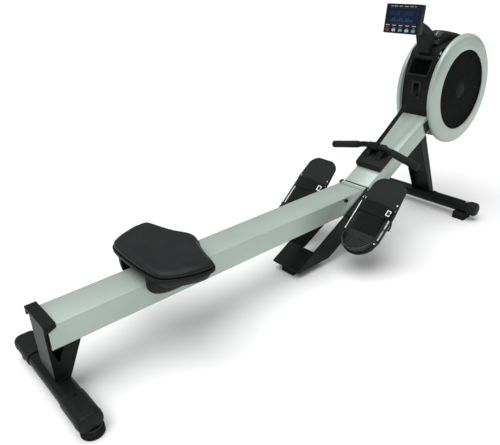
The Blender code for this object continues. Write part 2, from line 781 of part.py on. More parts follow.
# ---------------------------------------------------------------- pedals
def make_pedal(side, sign):
    """Footplate, heel cup, strap and buckle, built flat about the axle and then tilted."""
    frame = Matrix.Translation((PEDAL_AXLE_X, sign * PEDAL_Y, PEDAL_AXLE_Z)) @ Matrix.Rotation(
        -PEDAL_ANGLE, 4, "Y"
    )
    w = PEDAL_HALF
    loop = arc(HEEL_U + 0.092, 0.0, 0.092, 240, 120, 11)
    loop += [(-0.070, w), (0.060, w)]
    loop += arc(TOE_U - 0.056, w - 0.064, 0.056, 70, 12, 5)
    loop += arc(TOE_U - 0.056, -w + 0.064, 0.056, -12, -70, 5)
    loop += [(0.060, -w), (-0.070, -w)]
    slots = []
    for y in (-w + 0.0125, w - 0.0125):
        slots.append(rounded_rect(0.150, 0.013, 0.0055, 3, cx=0.010, cy=y))
    mid = (PEDAL_LOW + PEDAL_TOP) / 2
    plate = outline("footplate_" + side, [loop] + slots, PEDAL_TOP - PEDAL_LOW, BLACK_PLASTIC)
    plate.location = (0, 0, mid)
    plate = as_mesh(plate)
    for y in (-0.036, 0.036):
        lug = [(-0.040, PEDAL_LOW + 0.003), *arc(0, 0, 0.015, 200, 340, 7)]
        lug += [(0.040, PEDAL_LOW + 0.003)]
        hole = ring_loop(0, 0, PEDAL_AXLE_R + 0.0001)
        plate = fuse(plate, side_plate("pedal_lug", [lug, hole], y - 0.011, y + 0.011, None))
    place(plate, frame)

    base, top = PEDAL_TOP + GAP, PEDAL_TOP + 0.034
    outer = [(-0.052, 0.074), *arc(HEEL_U + 0.084, 0.0, 0.076, 100, 260, 11)]
    outer += [(-0.052, -0.074)]
    inner = [(-0.052, -0.069), *arc(HEEL_U + 0.084, 0.0, 0.071, 260, 100, 11)]
    inner += [(-0.052, 0.069)]
    cup = outline("heel_cup_" + side, [outer + inner], top - base, BLACK_RUBBER)
    cup.location = (0, 0, (top + base) / 2)
    place(cup, frame)

    t = 0.0025
    knee, foot, side_z, knee_z, crown_z = 0.056, 0.0315, 0.0495, 0.0600, 0.0680
    edge = w - 0.0125
    path = [(-edge, foot), (-edge, side_z), (-knee, knee_z), (-0.018, crown_z), (0.018, crown_z)]
    path += [(knee, knee_z), (edge, side_z), (edge, foot)]
    inside = [(-edge + t, foot), (-edge + t, side_z - 0.0017), (-knee + 0.0006, knee_z - t)]
    inside += [(-0.0178, crown_z - t), (0.0178, crown_z - t), (knee - 0.0006, knee_z - t)]
    inside += [(edge - t, side_z - 0.0017), (edge - t, foot)]
    band = outline("foot_strap_" + side, [path + inside[::-1]], STRAP_BAND, WEBBING)
    upright = Matrix(((0, 0, 1), (1, 0, 0), (0, 1, 0))).to_4x4()
    upright.translation = Vector((STRAP_U, 0, 0))
    band.matrix_world = upright
    place(band, frame)

    slope = math.atan2(knee_z - side_z, edge - knee)
    bw, bh, bt = 0.030, 0.020, 0.004
    buckle = bevel(box("buckle_" + side, (-bw / 2, -bh / 2, -bt / 2), (bw / 2, bh / 2, bt / 2), STEEL), 0.001, 1)
    normal = Vector((0, -math.sin(slope), math.cos(slope)))
    mid_point = Vector((STRAP_U, -(edge + knee) / 2, (knee_z + side_z) / 2))
    spot = mid_point + normal * (bt / 2 + GAP + 0.0003)
    place(buckle, frame @ Matrix.Translation(spot) @ Matrix.Rotation(slope, 4, "X"))
    return [plate, cup, bpy.data.objects["foot_strap_" + side], buckle]


# ---------------------------------------------------------------- rail and rear stand
def along_x(name, loops, x_low, x_high, y, z, mat, group=None):
    """An extrusion along X whose section's width is along Y and whose height is along Z."""
    obj = outline(name, loops, x_high - x_low, mat, group)
    frame = Matrix(((0, 0, 1), (1, 0, 0), (0, 1, 0))).to_4x4()
    frame.translation = Vector(((x_low + x_high) / 2, y, z))
    obj.matrix_world = frame
    return obj


def along_y(name, loops, y_low, y_high, x, z, mat, group=None):
    obj = outline(name, loops, y_high - y_low, mat, group)
    obj.rotation_euler = (math.pi / 2, 0, 0)
    obj.location = (x, (y_low + y_high) / 2, z)
    return obj


STOP_X, STOP_Z = 0.136, 0.274


def make_rail():
    mid_z = RAIL_TOP_Z - RAIL_HEIGHT / 2
    rail = along_x("rail", rail_section(), RAIL_REAR_X, RAIL_END_X, 0, mid_z, ALUMINIUM)
    hole = rod("stop_hole", (STOP_X, -0.1, STOP_Z), (STOP_X, 0.1, STOP_Z), 0.0048, None, 16)
    rail = cut(rail, hole)
    profile = [(0.0, 0.0785), (0.0075, 0.0785), (0.0075, 0.0678), (0.0045, 0.0678)]
    profile += [(0.0045, -0.0678), (0.0075, -0.0678), (0.0075, -0.0785), (0.0, -0.0785)]
    stop = turned("seat_stop", profile, (STOP_X, 0, STOP_Z), (0, 1, 0), BLACK_RUBBER, 16)

    half = RAIL_WIDTH / 2
    cap_x = RAIL_END_X + GAP
    block = box(
        "rail_hinge",
        (cap_x, -half, RAIL_TOP_Z - RAIL_HEIGHT),
        (cap_x + 0.0065, half, RAIL_TOP_Z),
        ALUMINIUM,
    )
    inset = RAIL_WALL + GAP
    plug = box(
        "hinge_plug",
        (cap_x - 0.030, -half + inset + 0.001, RAIL_TOP_Z - RAIL_HEIGHT + inset + 0.001),
        (cap_x + 0.002, half - inset - 0.001, RAIL_TOP_Z - inset - 0.001),
        None,
    )
    barrel = rod("hinge_barrel", (PIN_X, -0.067, PIN_Z), (PIN_X, 0.067, PIN_Z), 0.0092, None, 24)
    bore = rod(
        "hinge_bore", (PIN_X, -0.1, PIN_Z), (PIN_X, 0.1, PIN_Z), PIN_R + 0.0001, None, 24
    )
    hinge = cut(fuse(fuse(block, plug), barrel), bore)
    return [rail, stop, hinge]


def make_rear_stand():
    half, top = RAIL_WIDTH / 2, RAIL_TOP_Z + GAP
    x0, x1 = RAIL_REAR_X - 0.014, RAIL_REAR_X + 0.024
    hat = box("rail_end_cap", (x0, -0.0755, top), (x1, 0.0755, top + 0.011), BLACK_PLASTIC)
    lug = [(x0, top + 0.004), (x0, 0.2675), (x0 + 0.007, 0.2675), (x1, 0.2810), (x1, top + 0.004)]
    for low, high in ((half + GAP, 0.0755), (-0.0755, -half - GAP)):
        hat = fuse(hat, side_plate("cap_lug", [lug], low, high, None))

    behind, front = RAIL_REAR_X - 0.0105, RAIL_REAR_X - GAP
    under = RAIL_TOP_Z - RAIL_HEIGHT - GAP
    loop = [(behind, 0.282), (front, 0.282), (front, 0.192), (-1.1630, 0.142)]
    loop += [(-1.1340, under), (-1.0810, under), (-1.1420, 0.065), (behind, 0.065)]
    leg = side_plate("rear_leg", [loop], -0.055, 0.055, BLACK_PAINT)
    inner = [(behind + 0.003, 0.102), (behind + 0.003, 0.118), (-1.1660, 0.137)]
    inner += [(-1.1230, 0.220), (-1.0750, 0.220), (-1.1400, 0.102)]
    leg = cut(leg, side_plate("leg_hollow", [inner], -0.052, 0.052, None))
    w, h = REAR_BAR_SIZE
    grown = rounded_rect(w + 2 * GAP, h + 2 * GAP, h / 2 - 0.002 + GAP, 5)
    leg = cut(leg, along_y("leg_saddle", [grown], -0.1, 0.1, REAR_BAR_X, REAR_BAR_Z, None))

    section = rounded_rect(w, h, h / 2 - 0.002, 5)
    hollow = rounded_rect(w - 0.0044, h - 0.0044, h / 2 - 0.0042, 5)
    end = REAR_HALF - 0.004
    bar = along_y(
        "rear_stabilizer", [section, hollow], -end, end, REAR_BAR_X, REAR_BAR_Z, BLACK_PAINT
    )
    cw, ch = REAR_CAP_SIZE
    caps, feet = [], []
    for side, sign in SIDES:
        low, high = sorted((sign * 0.128, sign * (REAR_HALF + 0.004)))
        outer = rounded_rect(cw, ch, ch / 2 - 0.002, 5)
        cap = along_y("rear_cap_" + side, [outer], low, high, REAR_BAR_X, REAR_BAR_Z, BLACK_PLASTIC)
        inner_low, inner_high = sorted((sign * 0.12, sign * (REAR_HALF - 0.004 + GAP)))
        core = along_y(
            "cap_core_" + side, [grown], inner_low, inner_high, REAR_BAR_X, REAR_BAR_Z, None
        )
        caps.append(cut(cap, core))
        under_cap = REAR_BAR_Z - ch / 2 - GAP
        r = LEVEL_R
        profile = [(0.0, under_cap), (r - 0.006, under_cap), (r - 0.004, 0.0210)]
        profile += [(r - 0.004, 0.0200), (r, 0.0185), (r, 0.0120), (r - 0.0025, 0.0105)]
        profile += [(r, 0.0090), (r, 0.0), (0.0, 0.0)]
        feet.append(
            turned(
                "leveller_" + side,
                profile,
                (REAR_BAR_X + 0.006, sign * LEVEL_Y, 0),
                (0, 0, 1),
                BLACK_RUBBER,
                24,
            )
        )
    return [hat, leg, bar] + caps, feet


# ---------------------------------------------------------------- seat
def seat_outline():
    """(x, y) of half the pad's edge, from the nose round the wide corner to the back."""
    half = [(0.134, 0.0), (0.128, 0.030), (0.107, 0.075), (0.090, 0.130), (0.076, 0.183)]
    half += [(0.062, 0.211), (0.034, 0.219), (-0.004, 0.214), (-0.052, 0.197), (-0.096, 0.171)]
    half += [(-0.117, 0.145), (-0.126, 0.100), (-0.129, 0.0)]
    side = smooth_through([Vector(p) for p in half], 2)
    mirrored = [(x, -y) for x, y in side[-2:0:-1]]
    return [tuple(p) for p in side] + mirrored


def make_seat():
    pad = outline("seat_pad", [seat_outline()], SEAT_TOP_Z - SEAT_BOTTOM_Z, VINYL)
    pad.location = (SEAT_X, 0, (SEAT_TOP_Z + SEAT_BOTTOM_Z) / 2)
    bevel(pad, 0.009, 2)

    plate_top, plate_low = SEAT_BOTTOM_Z - GAP, SEAT_BOTTOM_Z - 0.0055
    rear, front = SEAT_X - 0.108, SEAT_X + 0.082
    deck = box("seat_carriage", (rear, -0.0765, plate_low), (front, 0.0765, plate_top), BLACK_PAINT)
    side_rear, side_front, side_top = rear + 0.0013, front - 0.0013, plate_top - 0.0017
    skirt = [(side_rear, side_top), (side_rear, 0.266), (rear + 0.020, 0.244)]
    skirt += [(front - 0.065, 0.244), (side_front, 0.272), (side_front, side_top)]
    for low, high in ((0.0735, 0.0785), (-0.0785, -0.0735)):
        deck = fuse(deck, side_plate("skirt", [skirt], low, high, None))
    axle_z = RAIL_TOP_Z + GAP + ROLLER_R
    rollers = []
    for where, dx in (("front", ROLLER_X), ("rear", -ROLLER_X)):
        x = SEAT_X + dx
        deck = fuse(deck, rod("seat_axle", (x, -0.076, axle_z), (x, 0.076, axle_z), 0.004, None, 16))
        for side, sign in SIDES:
            name = "roller_%s_%s" % (where, side)
            profile = [(ROLLER_R, 0.011), (ROLLER_R, -0.011), (0.0041, -0.011), (0.0041, 0.011)]
            rollers.append(turned(name, profile, (x, sign * 0.042, axle_z), (0, 1, 0), NYLON, 24))
    return [pad, deck], rollers


# ---------------------------------------------------------------- the machine
make_front_tube()
make_middle_support()
make_front_post()
make_front_stabiliser()
make_pins()
make_cradle()
make_housing()
make_rings_and_grilles()
make_forks()
fan_piece = make_fan()
spool_piece = make_spool()
make_pod_and_arm()
make_strap()
handle_pieces = make_handle()
console_shell, console_glass, console_buttons = make_console()
pedals = {side: make_pedal(side, sign) for side, sign in SIDES}
rail_pieces = make_rail()
stand_pieces, level_feet = make_rear_stand()
seat_pieces, seat_rollers = make_seat()

hinge_at = (PIN_X, 0, PIN_Z)
rail_empty = body("rail_pivot", hinge_at, rail_pieces + stand_pieces)
seat_empty = body("seat_slide", (SEAT_X, 0, RAIL_TOP_Z), seat_pieces)
body("fan_pivot", (FAN_X, 0, FAN_Z), [fan_piece])
body("spool_pivot", (SPOOL_X, 0, SPOOL_Z), [spool_piece])
body("handle_slide", (HANDLE_X, 0, HANDLE_Z), handle_pieces)
console_empty = body(
    "console_pivot", (CONSOLE_PIN[0], 0, CONSOLE_PIN[1]), [console_shell, console_glass]
)
for piece in console_buttons:
    piece.parent = console_empty
    piece.matrix_parent_inverse = console_empty.matrix_world.inverted()
for side, sign in SIDES:
    body("pedal_pivot_" + side, (PEDAL_AXLE_X, sign * PEDAL_Y, PEDAL_AXLE_Z), pedals[side])
for piece in level_feet + [seat_empty]:
    piece.parent = rail_empty
    piece.matrix_parent_inverse = rail_empty.matrix_world.inverted()
for piece in seat_rollers:
    piece.parent = seat_empty
    piece.matrix_parent_inverse = seat_empty.matrix_world.inverted()

for obj in PARTS.objects:
    if obj.type == "MESH":
        obj.data.shade_smooth()
        obj.data.set_sharp_from_angle(angle=math.radians(35))
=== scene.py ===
import json
import math

import bmesh
import bpy
from mathutils import Matrix, Vector, noise


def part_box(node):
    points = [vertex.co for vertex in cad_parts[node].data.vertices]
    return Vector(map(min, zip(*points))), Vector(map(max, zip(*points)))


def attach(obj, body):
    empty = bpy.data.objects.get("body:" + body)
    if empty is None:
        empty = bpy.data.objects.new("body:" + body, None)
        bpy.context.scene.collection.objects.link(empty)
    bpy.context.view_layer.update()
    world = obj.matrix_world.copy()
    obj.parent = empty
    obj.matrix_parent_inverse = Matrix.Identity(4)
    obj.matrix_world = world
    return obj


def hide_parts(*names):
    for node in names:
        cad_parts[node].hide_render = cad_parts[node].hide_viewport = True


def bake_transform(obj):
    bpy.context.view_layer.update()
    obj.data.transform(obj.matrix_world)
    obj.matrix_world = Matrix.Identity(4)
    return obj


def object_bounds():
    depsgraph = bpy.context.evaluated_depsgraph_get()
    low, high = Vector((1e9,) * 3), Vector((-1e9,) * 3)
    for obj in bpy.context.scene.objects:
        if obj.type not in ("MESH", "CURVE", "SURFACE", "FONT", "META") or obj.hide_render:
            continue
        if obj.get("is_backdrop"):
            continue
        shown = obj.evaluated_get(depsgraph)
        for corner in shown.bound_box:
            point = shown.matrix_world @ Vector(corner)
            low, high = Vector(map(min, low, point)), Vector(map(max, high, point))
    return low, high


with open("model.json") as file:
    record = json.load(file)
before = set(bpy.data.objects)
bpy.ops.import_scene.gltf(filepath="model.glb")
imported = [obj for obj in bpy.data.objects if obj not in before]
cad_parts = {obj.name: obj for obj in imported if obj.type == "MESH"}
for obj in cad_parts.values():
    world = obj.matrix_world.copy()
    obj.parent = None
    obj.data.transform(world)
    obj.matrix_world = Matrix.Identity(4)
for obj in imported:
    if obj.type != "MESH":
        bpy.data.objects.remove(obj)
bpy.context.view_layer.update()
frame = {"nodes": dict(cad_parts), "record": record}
NODES = frame["nodes"]

SIDES = (("left", 1), ("right", -1))


# ---------------------------------------------------------------- materials


class Shader:
    """A Principled material whose colour, roughness and bump come from nodes."""

    def __init__(self, name, rough, metallic=0.0, **sockets):
        self.material = bpy.data.materials.new(name)
        self.material.use_nodes = True
        self.tree = self.material.node_tree
        self.out = self.tree.nodes["Principled BSDF"]
        self.out.inputs["Metallic"].default_value = metallic
        self.out.inputs["Roughness"].default_value = rough
        for socket, value in sockets.items():
            self.out.inputs[socket.replace("_", " ")].default_value = value
        self.where = self.node("ShaderNodeTexCoord").outputs["Object"]
        self.normal = None

    def node(self, kind, **settings):
        made = self.tree.nodes.new(kind)
        for name, value in settings.items():
            setattr(made, name, value)
        return made

    def link(self, a, b):
        self.tree.links.new(a, b)

    def stretched(self, scale):
        mapping = self.node("ShaderNodeMapping")
        mapping.inputs["Scale"].default_value = scale
        self.link(self.where, mapping.inputs["Vector"])
        return mapping.outputs["Vector"]

    def noise(self, scale, detail=2.0, stretch=None, rough=0.5):
        made = self.node("ShaderNodeTexNoise")
        made.inputs["Scale"].default_value = scale
        made.inputs["Detail"].default_value = detail
        made.inputs["Roughness"].default_value = rough
        self.link(self.stretched(stretch) if stretch else self.where, made.inputs["Vector"])
        return made.outputs["Fac"]

    def cells(self, scale, feature="F1"):
        made = self.node("ShaderNodeTexVoronoi", feature=feature)
        made.inputs["Scale"].default_value = scale
        self.link(self.where, made.inputs["Vector"])
        return made.outputs["Distance"]

    def wave(self, scale, direction, distortion=0.0):
        made = self.node("ShaderNodeTexWave", bands_direction=direction)
        made.inputs["Scale"].default_value = scale
        made.inputs["Distortion"].default_value = distortion
        self.link(self.where, made.inputs["Vector"])
        return made.outputs["Fac"]

    def ramp(self, value, stops):
        made = self.node("ShaderNodeValToRGB")
        elements = made.color_ramp.elements
        while len(elements) < len(stops):
            elements.new(0.5)
        for element, (place, colour) in zip(elements, stops):
            element.position = place
            element.color = (*colour, 1)
        self.link(value, made.inputs["Fac"])
        return made.outputs["Color"]

    def colour(self, value, *stops):
        self.link(self.ramp(value, stops), self.out.inputs["Base Color"])
        return self

    def roughness(self, value, low, high):
        made = self.node("ShaderNodeMapRange")
        made.inputs["To Min"].default_value = low
        made.inputs["To Max"].default_value = high
        self.link(value, made.inputs["Value"])
        self.link(made.outputs["Result"], self.out.inputs["Roughness"])
        return self

    def bump(self, value, distance, strength=1.0):
        made = self.node("ShaderNodeBump")
        made.inputs["Strength"].default_value = strength
        made.inputs["Distance"].default_value = distance
        self.link(value, made.inputs["Height"])
        if self.normal:
            self.link(self.normal, made.inputs["Normal"])
        self.normal = made.outputs["Normal"]
        self.link(self.normal, self.out.inputs["Normal"])
        return self


def grey(value, tint=(1.0, 1.0, 1.0)):
    return tuple(value * t for t in tint)


# Green tints multiplied into the base colours: a painted green cast of the shade, the first for the silver
# and grey parts, the second for the black parts.
SHADE_CAST_TINT_FOR_SILVER = (0.86, 1.03, 0.94)
SHADE_CAST_TINT_FOR_BLACKS = (0.80, 1.06, 1.02)


def silver_extrusion():
    """Satin anodised aluminium, with the fine lines of the extrusion along its length."""
    s = Shader("satin_aluminium", 0.42, 0.30, Specular_IOR_Level=0.4)
    lines = s.noise(1.0, 3.0, (3.0, 900.0, 900.0), 0.6)
    cloud = s.noise(5.0, 3.0)
    s.colour(cloud, (0.30, grey(0.47, SHADE_CAST_TINT_FOR_SILVER)), (0.70, grey(0.52, SHADE_CAST_TINT_FOR_SILVER)))
    return s.roughness(lines, 0.36, 0.47).bump(lines, 0.00006, 0.35).material


def silver_lacquer():
    """Silver paint with a fine metallic flake under a thin clear coat."""
    s = Shader("silver_lacquer", 0.36, 0.30, Coat_Weight=0.20, Coat_Roughness=0.25)
    flake = s.cells(2600.0)
    cloud = s.noise(6.0, 3.0)
    s.colour(cloud, (0.30, grey(0.44, SHADE_CAST_TINT_FOR_SILVER)), (0.72, grey(0.50, SHADE_CAST_TINT_FOR_SILVER)))
    return s.roughness(flake, 0.33, 0.42).bump(s.noise(420.0, 2.0), 0.00008, 0.25).material


def black_paint():
    """Powder coat, with its slight orange peel."""
    s = Shader("black_powder_coat", 0.42, Specular_IOR_Level=0.14)
    peel = s.noise(380.0, 2.0)
    cloud = s.noise(7.0, 3.0)
    s.colour(cloud, (0.30, grey(0.004, SHADE_CAST_TINT_FOR_BLACKS)), (0.75, grey(0.008, SHADE_CAST_TINT_FOR_BLACKS)))
    return s.roughness(cloud, 0.36, 0.50).bump(peel, 0.00022, 0.4).material


def black_plastic(name="black_plastic", shade=0.007, rough=(0.46, 0.60), tint=SHADE_CAST_TINT_FOR_BLACKS):
    """Moulded plastic with a fine spark-eroded grain."""
    s = Shader(name, 0.5, Specular_IOR_Level=0.17)
    grain = s.cells(850.0, "SMOOTH_F1")
    cloud = s.noise(9.0, 3.0)
    s.colour(cloud, (0.30, grey(shade * 0.85, tint)), (0.75, grey(shade * 1.25, tint)))
    return s.roughness(cloud, *rough).bump(grain, 0.00018, 0.45).material


def rubber():
    """Matt rubber with a little dust in it."""
    s = Shader("black_rubber", 0.78, Specular_IOR_Level=0.15)
    dust = s.noise(26.0, 5.0)
    s.colour(dust, (0.35, grey(0.006)), (0.78, grey(0.016, (1.05, 1.0, 0.95))))
    return s.roughness(dust, 0.70, 0.88).bump(s.noise(600.0, 2.0), 0.0003, 0.4).material


def foam():
    """Closed-cell foam: tiny pores in a matt skin."""
    s = Shader("foam_grip", 0.82, Specular_IOR_Level=0.15, Sheen_Weight=0.05, Sheen_Roughness=0.5)
    pores = s.cells(1500.0)
    cloud = s.noise(30.0, 4.0)
    s.colour(cloud, (0.30, grey(0.010, SHADE_CAST_TINT_FOR_BLACKS)), (0.75, grey(0.017, SHADE_CAST_TINT_FOR_BLACKS)))
    return s.roughness(cloud, 0.74, 0.90).bump(pores, 0.0004, 0.55).material


def vinyl():
    """Upholstery vinyl: a leather-like grain of small creased cells."""
    s = Shader("seat_vinyl", 0.45, Specular_IOR_Level=0.20, Coat_Weight=0.03, Coat_Roughness=0.4)
    creases = s.cells(420.0, "DISTANCE_TO_EDGE")
    cloud = s.noise(14.0, 4.0)
    s.colour(cloud, (0.30, grey(0.009, SHADE_CAST_TINT_FOR_BLACKS)), (0.75, grey(0.015, SHADE_CAST_TINT_FOR_BLACKS)))
    edge = s.ramp(creases, ((0.0, (0, 0, 0)), (0.16, (1, 1, 1))))
    s.roughness(cloud, 0.38, 0.52).bump(edge, 0.00012, 0.45)
    return s.bump(s.noise(60.0, 4.0), 0.0004, 0.25).material


def steel(name, shade, rough=(0.26, 0.42)):
    """Plated steel with a faint spangle."""
    s = Shader(name, 0.34, 1.0)
    spangle = s.cells(160.0)
    s.colour(spangle, (0.10, grey(shade * 0.9)), (0.80, grey(shade * 1.1, (1.0, 1.0, 0.98))))
    return s.roughness(s.noise(90.0, 3.0), *rough).bump(s.noise(700.0, 2.0), 0.00005, 0.3).material


def webbing(shade=0.008):
    """Woven webbing: a fine chevron of two sets of yarns."""
    s = Shader("black_webbing", 0.8, Specular_IOR_Level=0.14, Sheen_Weight=0.06, Sheen_Roughness=0.4)
    warp = s.wave(420.0, "Y")
    weft = s.wave(300.0, "DIAGONAL", 0.4)
    mix = s.node("ShaderNodeMath", operation="MULTIPLY")
    s.link(warp, mix.inputs[0])
    s.link(weft, mix.inputs[1])
    weave = mix.outputs[0]
    s.colour(weave, (0.10, grey(shade * 0.7, SHADE_CAST_TINT_FOR_BLACKS)), (0.85, grey(shade * 1.6, SHADE_CAST_TINT_FOR_BLACKS)))
    return s.roughness(s.noise(90.0, 3.0), 0.72, 0.88).bump(weave, 0.0005, 0.6).material


def screen():
    """The display's dark blue glass."""
    s = Shader("blue_screen", 0.10, Specular_IOR_Level=0.18, Coat_Weight=0.08, Coat_Roughness=0.04)
    glow = s.noise(9.0, 2.0)
    s.colour(glow, (0.25, (0.004, 0.010, 0.034)), (0.80, (0.010, 0.022, 0.062)))
    return s.material


def ink(name, colour):
    """Flat print: the console's marks and the screen's figures."""
    s = Shader(name, 0.5)
    return s.colour(s.noise(300.0), (0.3, tuple(c * 0.9 for c in colour)), (0.8, colour)).material


def key_cap(name, colour):
    """A moulded key with a faint gloss."""
    s = Shader(name, 0.38, Specular_IOR_Level=0.5, Coat_Weight=0.15, Coat_Roughness=0.2)
    s.colour(s.noise(120.0, 3.0), (0.3, tuple(c * 0.85 for c in colour)), (0.8, colour))
    return s.bump(s.noise(900.0), 0.0001, 0.3).material


ALUMINIUM = silver_extrusion()
LACQUER = silver_lacquer()
PAINT = black_paint()
PLASTIC = black_plastic()
SOFT_PLASTIC = black_plastic("foot_plate_plastic", 0.012, (0.50, 0.66))
CASE_PLASTIC = black_plastic("case_plastic", 0.007, (0.36, 0.50), (1.0, 1.0, 1.04))
GUARD_BLACK = black_plastic("guard_plastic", 0.004, (0.60, 0.75))
# a lighter copy of the black plastic: painted highlight where the heel ribs and the heel cup's rounded lip
# catch the light
RIB_HIGHLIGHT_PLASTIC = black_plastic("rib_highlight_plastic", 0.034, (0.50, 0.66))
RUBBER = rubber()
FOAM = foam()
VINYL = vinyl()
STEEL = steel("zinc_steel", 0.36)
BRIGHT = steel("bright_steel", 0.58, (0.18, 0.30))
WEBBING = webbing()
SCREEN = screen()
RED_KEY = key_cap("red_key", (0.22, 0.012, 0.014))
BLUE_KEY = key_cap("blue_key", (0.08, 0.30, 0.42))
PALE_KEY = key_cap("pale_key", (0.36, 0.46, 0.50))
GREY_PLASTIC = black_plastic("grey_plastic", 0.050, (0.34, 0.46), SHADE_CAST_TINT_FOR_SILVER)
NYLON = black_plastic("nylon_roller", 0.05, (0.40, 0.52), (1, 1, 1))
PRINT = ink("panel_print", (0.36, 0.38, 0.36))
SEGMENT = ink("lcd_segment", (0.016, 0.034, 0.080))

SLOTS = {
    "satin_aluminium": ALUMINIUM,
    "black_paint": PAINT,
    "black_plastic": PLASTIC,
    "silver_plastic": LACQUER,
    "black_rubber": RUBBER,
    "foam_grip": FOAM,
    "seat_vinyl": VINYL,
    "zinc_steel": STEEL,
    "black_webbing": WEBBING,
    "blue_screen": SCREEN,
    "red_button": RED_KEY,
    "blue_button": BLUE_KEY,
    "grey_plastic": GREY_PLASTIC,
    "nylon_roller": NYLON,
}
NODE_SLOT = {s["node"]: s["material_slot"] for s in frame["record"]["subparts"]}
NODE_BODY = {n: b for b, ns in frame["record"]["behaviour"]["bodies"].items() for n in ns}


def shade(obj, angle=35.0):
    """Smooth shading with sharp edges where faces meet at more than this angle."""
    mesh = obj.data
    mesh.polygons.foreach_set("use_smooth", [True] * len(mesh.polygons))
    mesh.set_sharp_from_angle(angle=math.radians(angle))
    return obj


# ---------------------------------------------------------------- mesh tools


def adopt(obj, body, material, replaces=()):
    """Gives a piece its material, its body and the CAD nodes it stands for."""
    if not obj.data.materials:
        obj.data.materials.append(material)
    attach(obj, body)
    if replaces:
        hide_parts(*replaces)
    return obj


def raw(name, verts, faces):
    """A mesh object from its points and faces, with the faces pointing out."""
    mesh = bpy.data.meshes.new(name)
    mesh.from_pydata([tuple(v) for v in verts], [], [tuple(f) for f in faces])
    mesh.validate()
    obj = bpy.data.objects.new(name, mesh)
    bpy.context.scene.collection.objects.link(obj)
    work = bmesh.new()
    work.from_mesh(mesh)
    bmesh.ops.recalc_face_normals(work, faces=work.faces)
    work.to_mesh(mesh)
    work.free()
    return obj


def axes_for(axis):
    """A turn whose local Z is the axis, with a steady local X."""
    z = Vector(axis).normalized()
    x = z.orthogonal().normalized()
    if abs(z.y) > 0.9:
        x = Vector((1, 0, 0))
        x = (x - z * x.dot(z)).normalized()
    elif abs(z.y) < 0.1:
        x = Vector((0, 1, 0))
    y = z.cross(x)
    return Matrix((x, y, z)).transposed()


def placed(verts, centre, turn):
    centre = Vector(centre)
    return [turn @ Vector(v) + centre for v in verts]


def lathe(name, profile, centre, axis, segments=64, angle=35.0):
    """A closed profile of (radius, height) turned about an axis. A radius of 0 closes the end."""
    rows, verts, faces = [], [], []
    for r, h in profile:
        if r < 1e-7:
            rows.append([len(verts)] * segments)
            verts.append((0, 0, h))
        else:
            rows.append(list(range(len(verts), len(verts) + segments)))
            for i in range(segments):
                a = 2 * math.pi * i / segments
                verts.append((r * math.cos(a), r * math.sin(a), h))
    closed = profile[0][0] > 1e-7 and profile[-1][0] > 1e-7
    pairs = list(zip(rows, rows[1:])) + ([(rows[-1], rows[0])] if closed else [])
    for low, high in pairs:
        for i in range(segments):
            j = (i + 1) % segments
            face = [low[i], low[j], high[j], high[i]]
            face = [v for k, v in enumerate(face) if v not in face[:k]]
            if len(face) > 2:
                faces.append(face)
    return shade(raw(name, placed(verts, centre, axes_for(axis)), faces), angle)


def loft(name, sections, angle=40.0, closed=False):
    """A skin over sections that have the same number of points."""
    count = len(sections[0])
    verts = [p for s in sections for p in s]
    faces = []
    last = len(sections) if closed else len(sections) - 1
    for k in range(last):
        a, b = k * count, ((k + 1) % len(sections)) * count
        for i in range(count):
            j = (i + 1) % count
            faces.append((a + i, a + j, b + j, b + i))
    if not closed:
        faces.append(tuple(range(count)))
        faces.append(tuple(range(len(verts) - count, len(verts))))
    return shade(raw(name, verts, faces), angle)


def rounded(width, height, radius, steps=6):
    """A rectangle's outline with round corners, centred on the origin."""
    points = []
    for cx, cy, start in ((1, 1, 0), (-1, 1, 90), (-1, -1, 180), (1, -1, 270)):
        for i in range(steps + 1):
            a = math.radians(start + 90 * i / steps)
            points.append(
                (
                    cx * (width / 2 - radius) + radius * math.cos(a),
                    cy * (height / 2 - radius) + radius * math.sin(a),
                )
            )
    return points


def sweep(name, section, path, side=(0, 1, 0), angle=40.0, scale=None, closed=False):
    """A section of (across, up) points carried along a path. side is kept as its across."""
    path = [Vector(p) for p in path]
    sections = []
    for i, p in enumerate(path):
        if closed:
            ahead, behind = path[(i + 1) % len(path)], path[i - 1]
        else:
            ahead, behind = path[min(i + 1, len(path) - 1)], path[max(i - 1, 0)]
        along = (ahead - behind).normalized()
        across = Vector(side) - along * Vector(side).dot(along)
        across.normalize()
        up = along.cross(across)
        k = scale(i / (len(path) - 1)) if scale else 1.0
        sections.append([p + across * (u * k) + up * (v * k) for u, v in section])
    return loft(name, sections, angle, closed=closed)


def smooth_path(points, count=40, closed=False):
    """Points on a Catmull-Rom curve through the given ones."""
    points = [Vector(p) for p in points]
    n = len(points)
    spans = n if closed else n - 1
    made = []
    for s in range(spans):
        if closed:
            p0, p1, p2, p3 = (points[(s + k - 1) % n] for k in range(4))
        else:
            p0, p1 = points[max(s - 1, 0)], points[s]
            p2, p3 = points[s + 1], points[min(s + 2, n - 1)]
        steps = max(2, count // spans)
        for i in range(steps):
            t = i / steps
            made.append(
                0.5
                * (
                    2 * p1
                    + (p2 - p0) * t
                    + (2 * p0 - 5 * p1 + 4 * p2 - p3) * t * t
                    + (3 * p1 - p0 - 3 * p2 + p3) * t**3
                )
            )
    if not closed:
        made.append(points[-1])
    return made


def circle(radius, steps=16):
    return [
        (radius * math.cos(2 * math.pi * i / steps), radius * math.sin(2 * math.pi * i / steps))
        for i in range(steps)
    ]


def soften(obj, width, segments=2, angle=30.0):
    """A real bevel on the edges, with the faces kept flat."""
    bevel = obj.modifiers.new("edge", "BEVEL")
    bevel.width, bevel.segments = width, segments
    bevel.limit_method, bevel.angle_limit = "ANGLE", math.radians(angle)
    bevel.harden_normals = True
    return obj


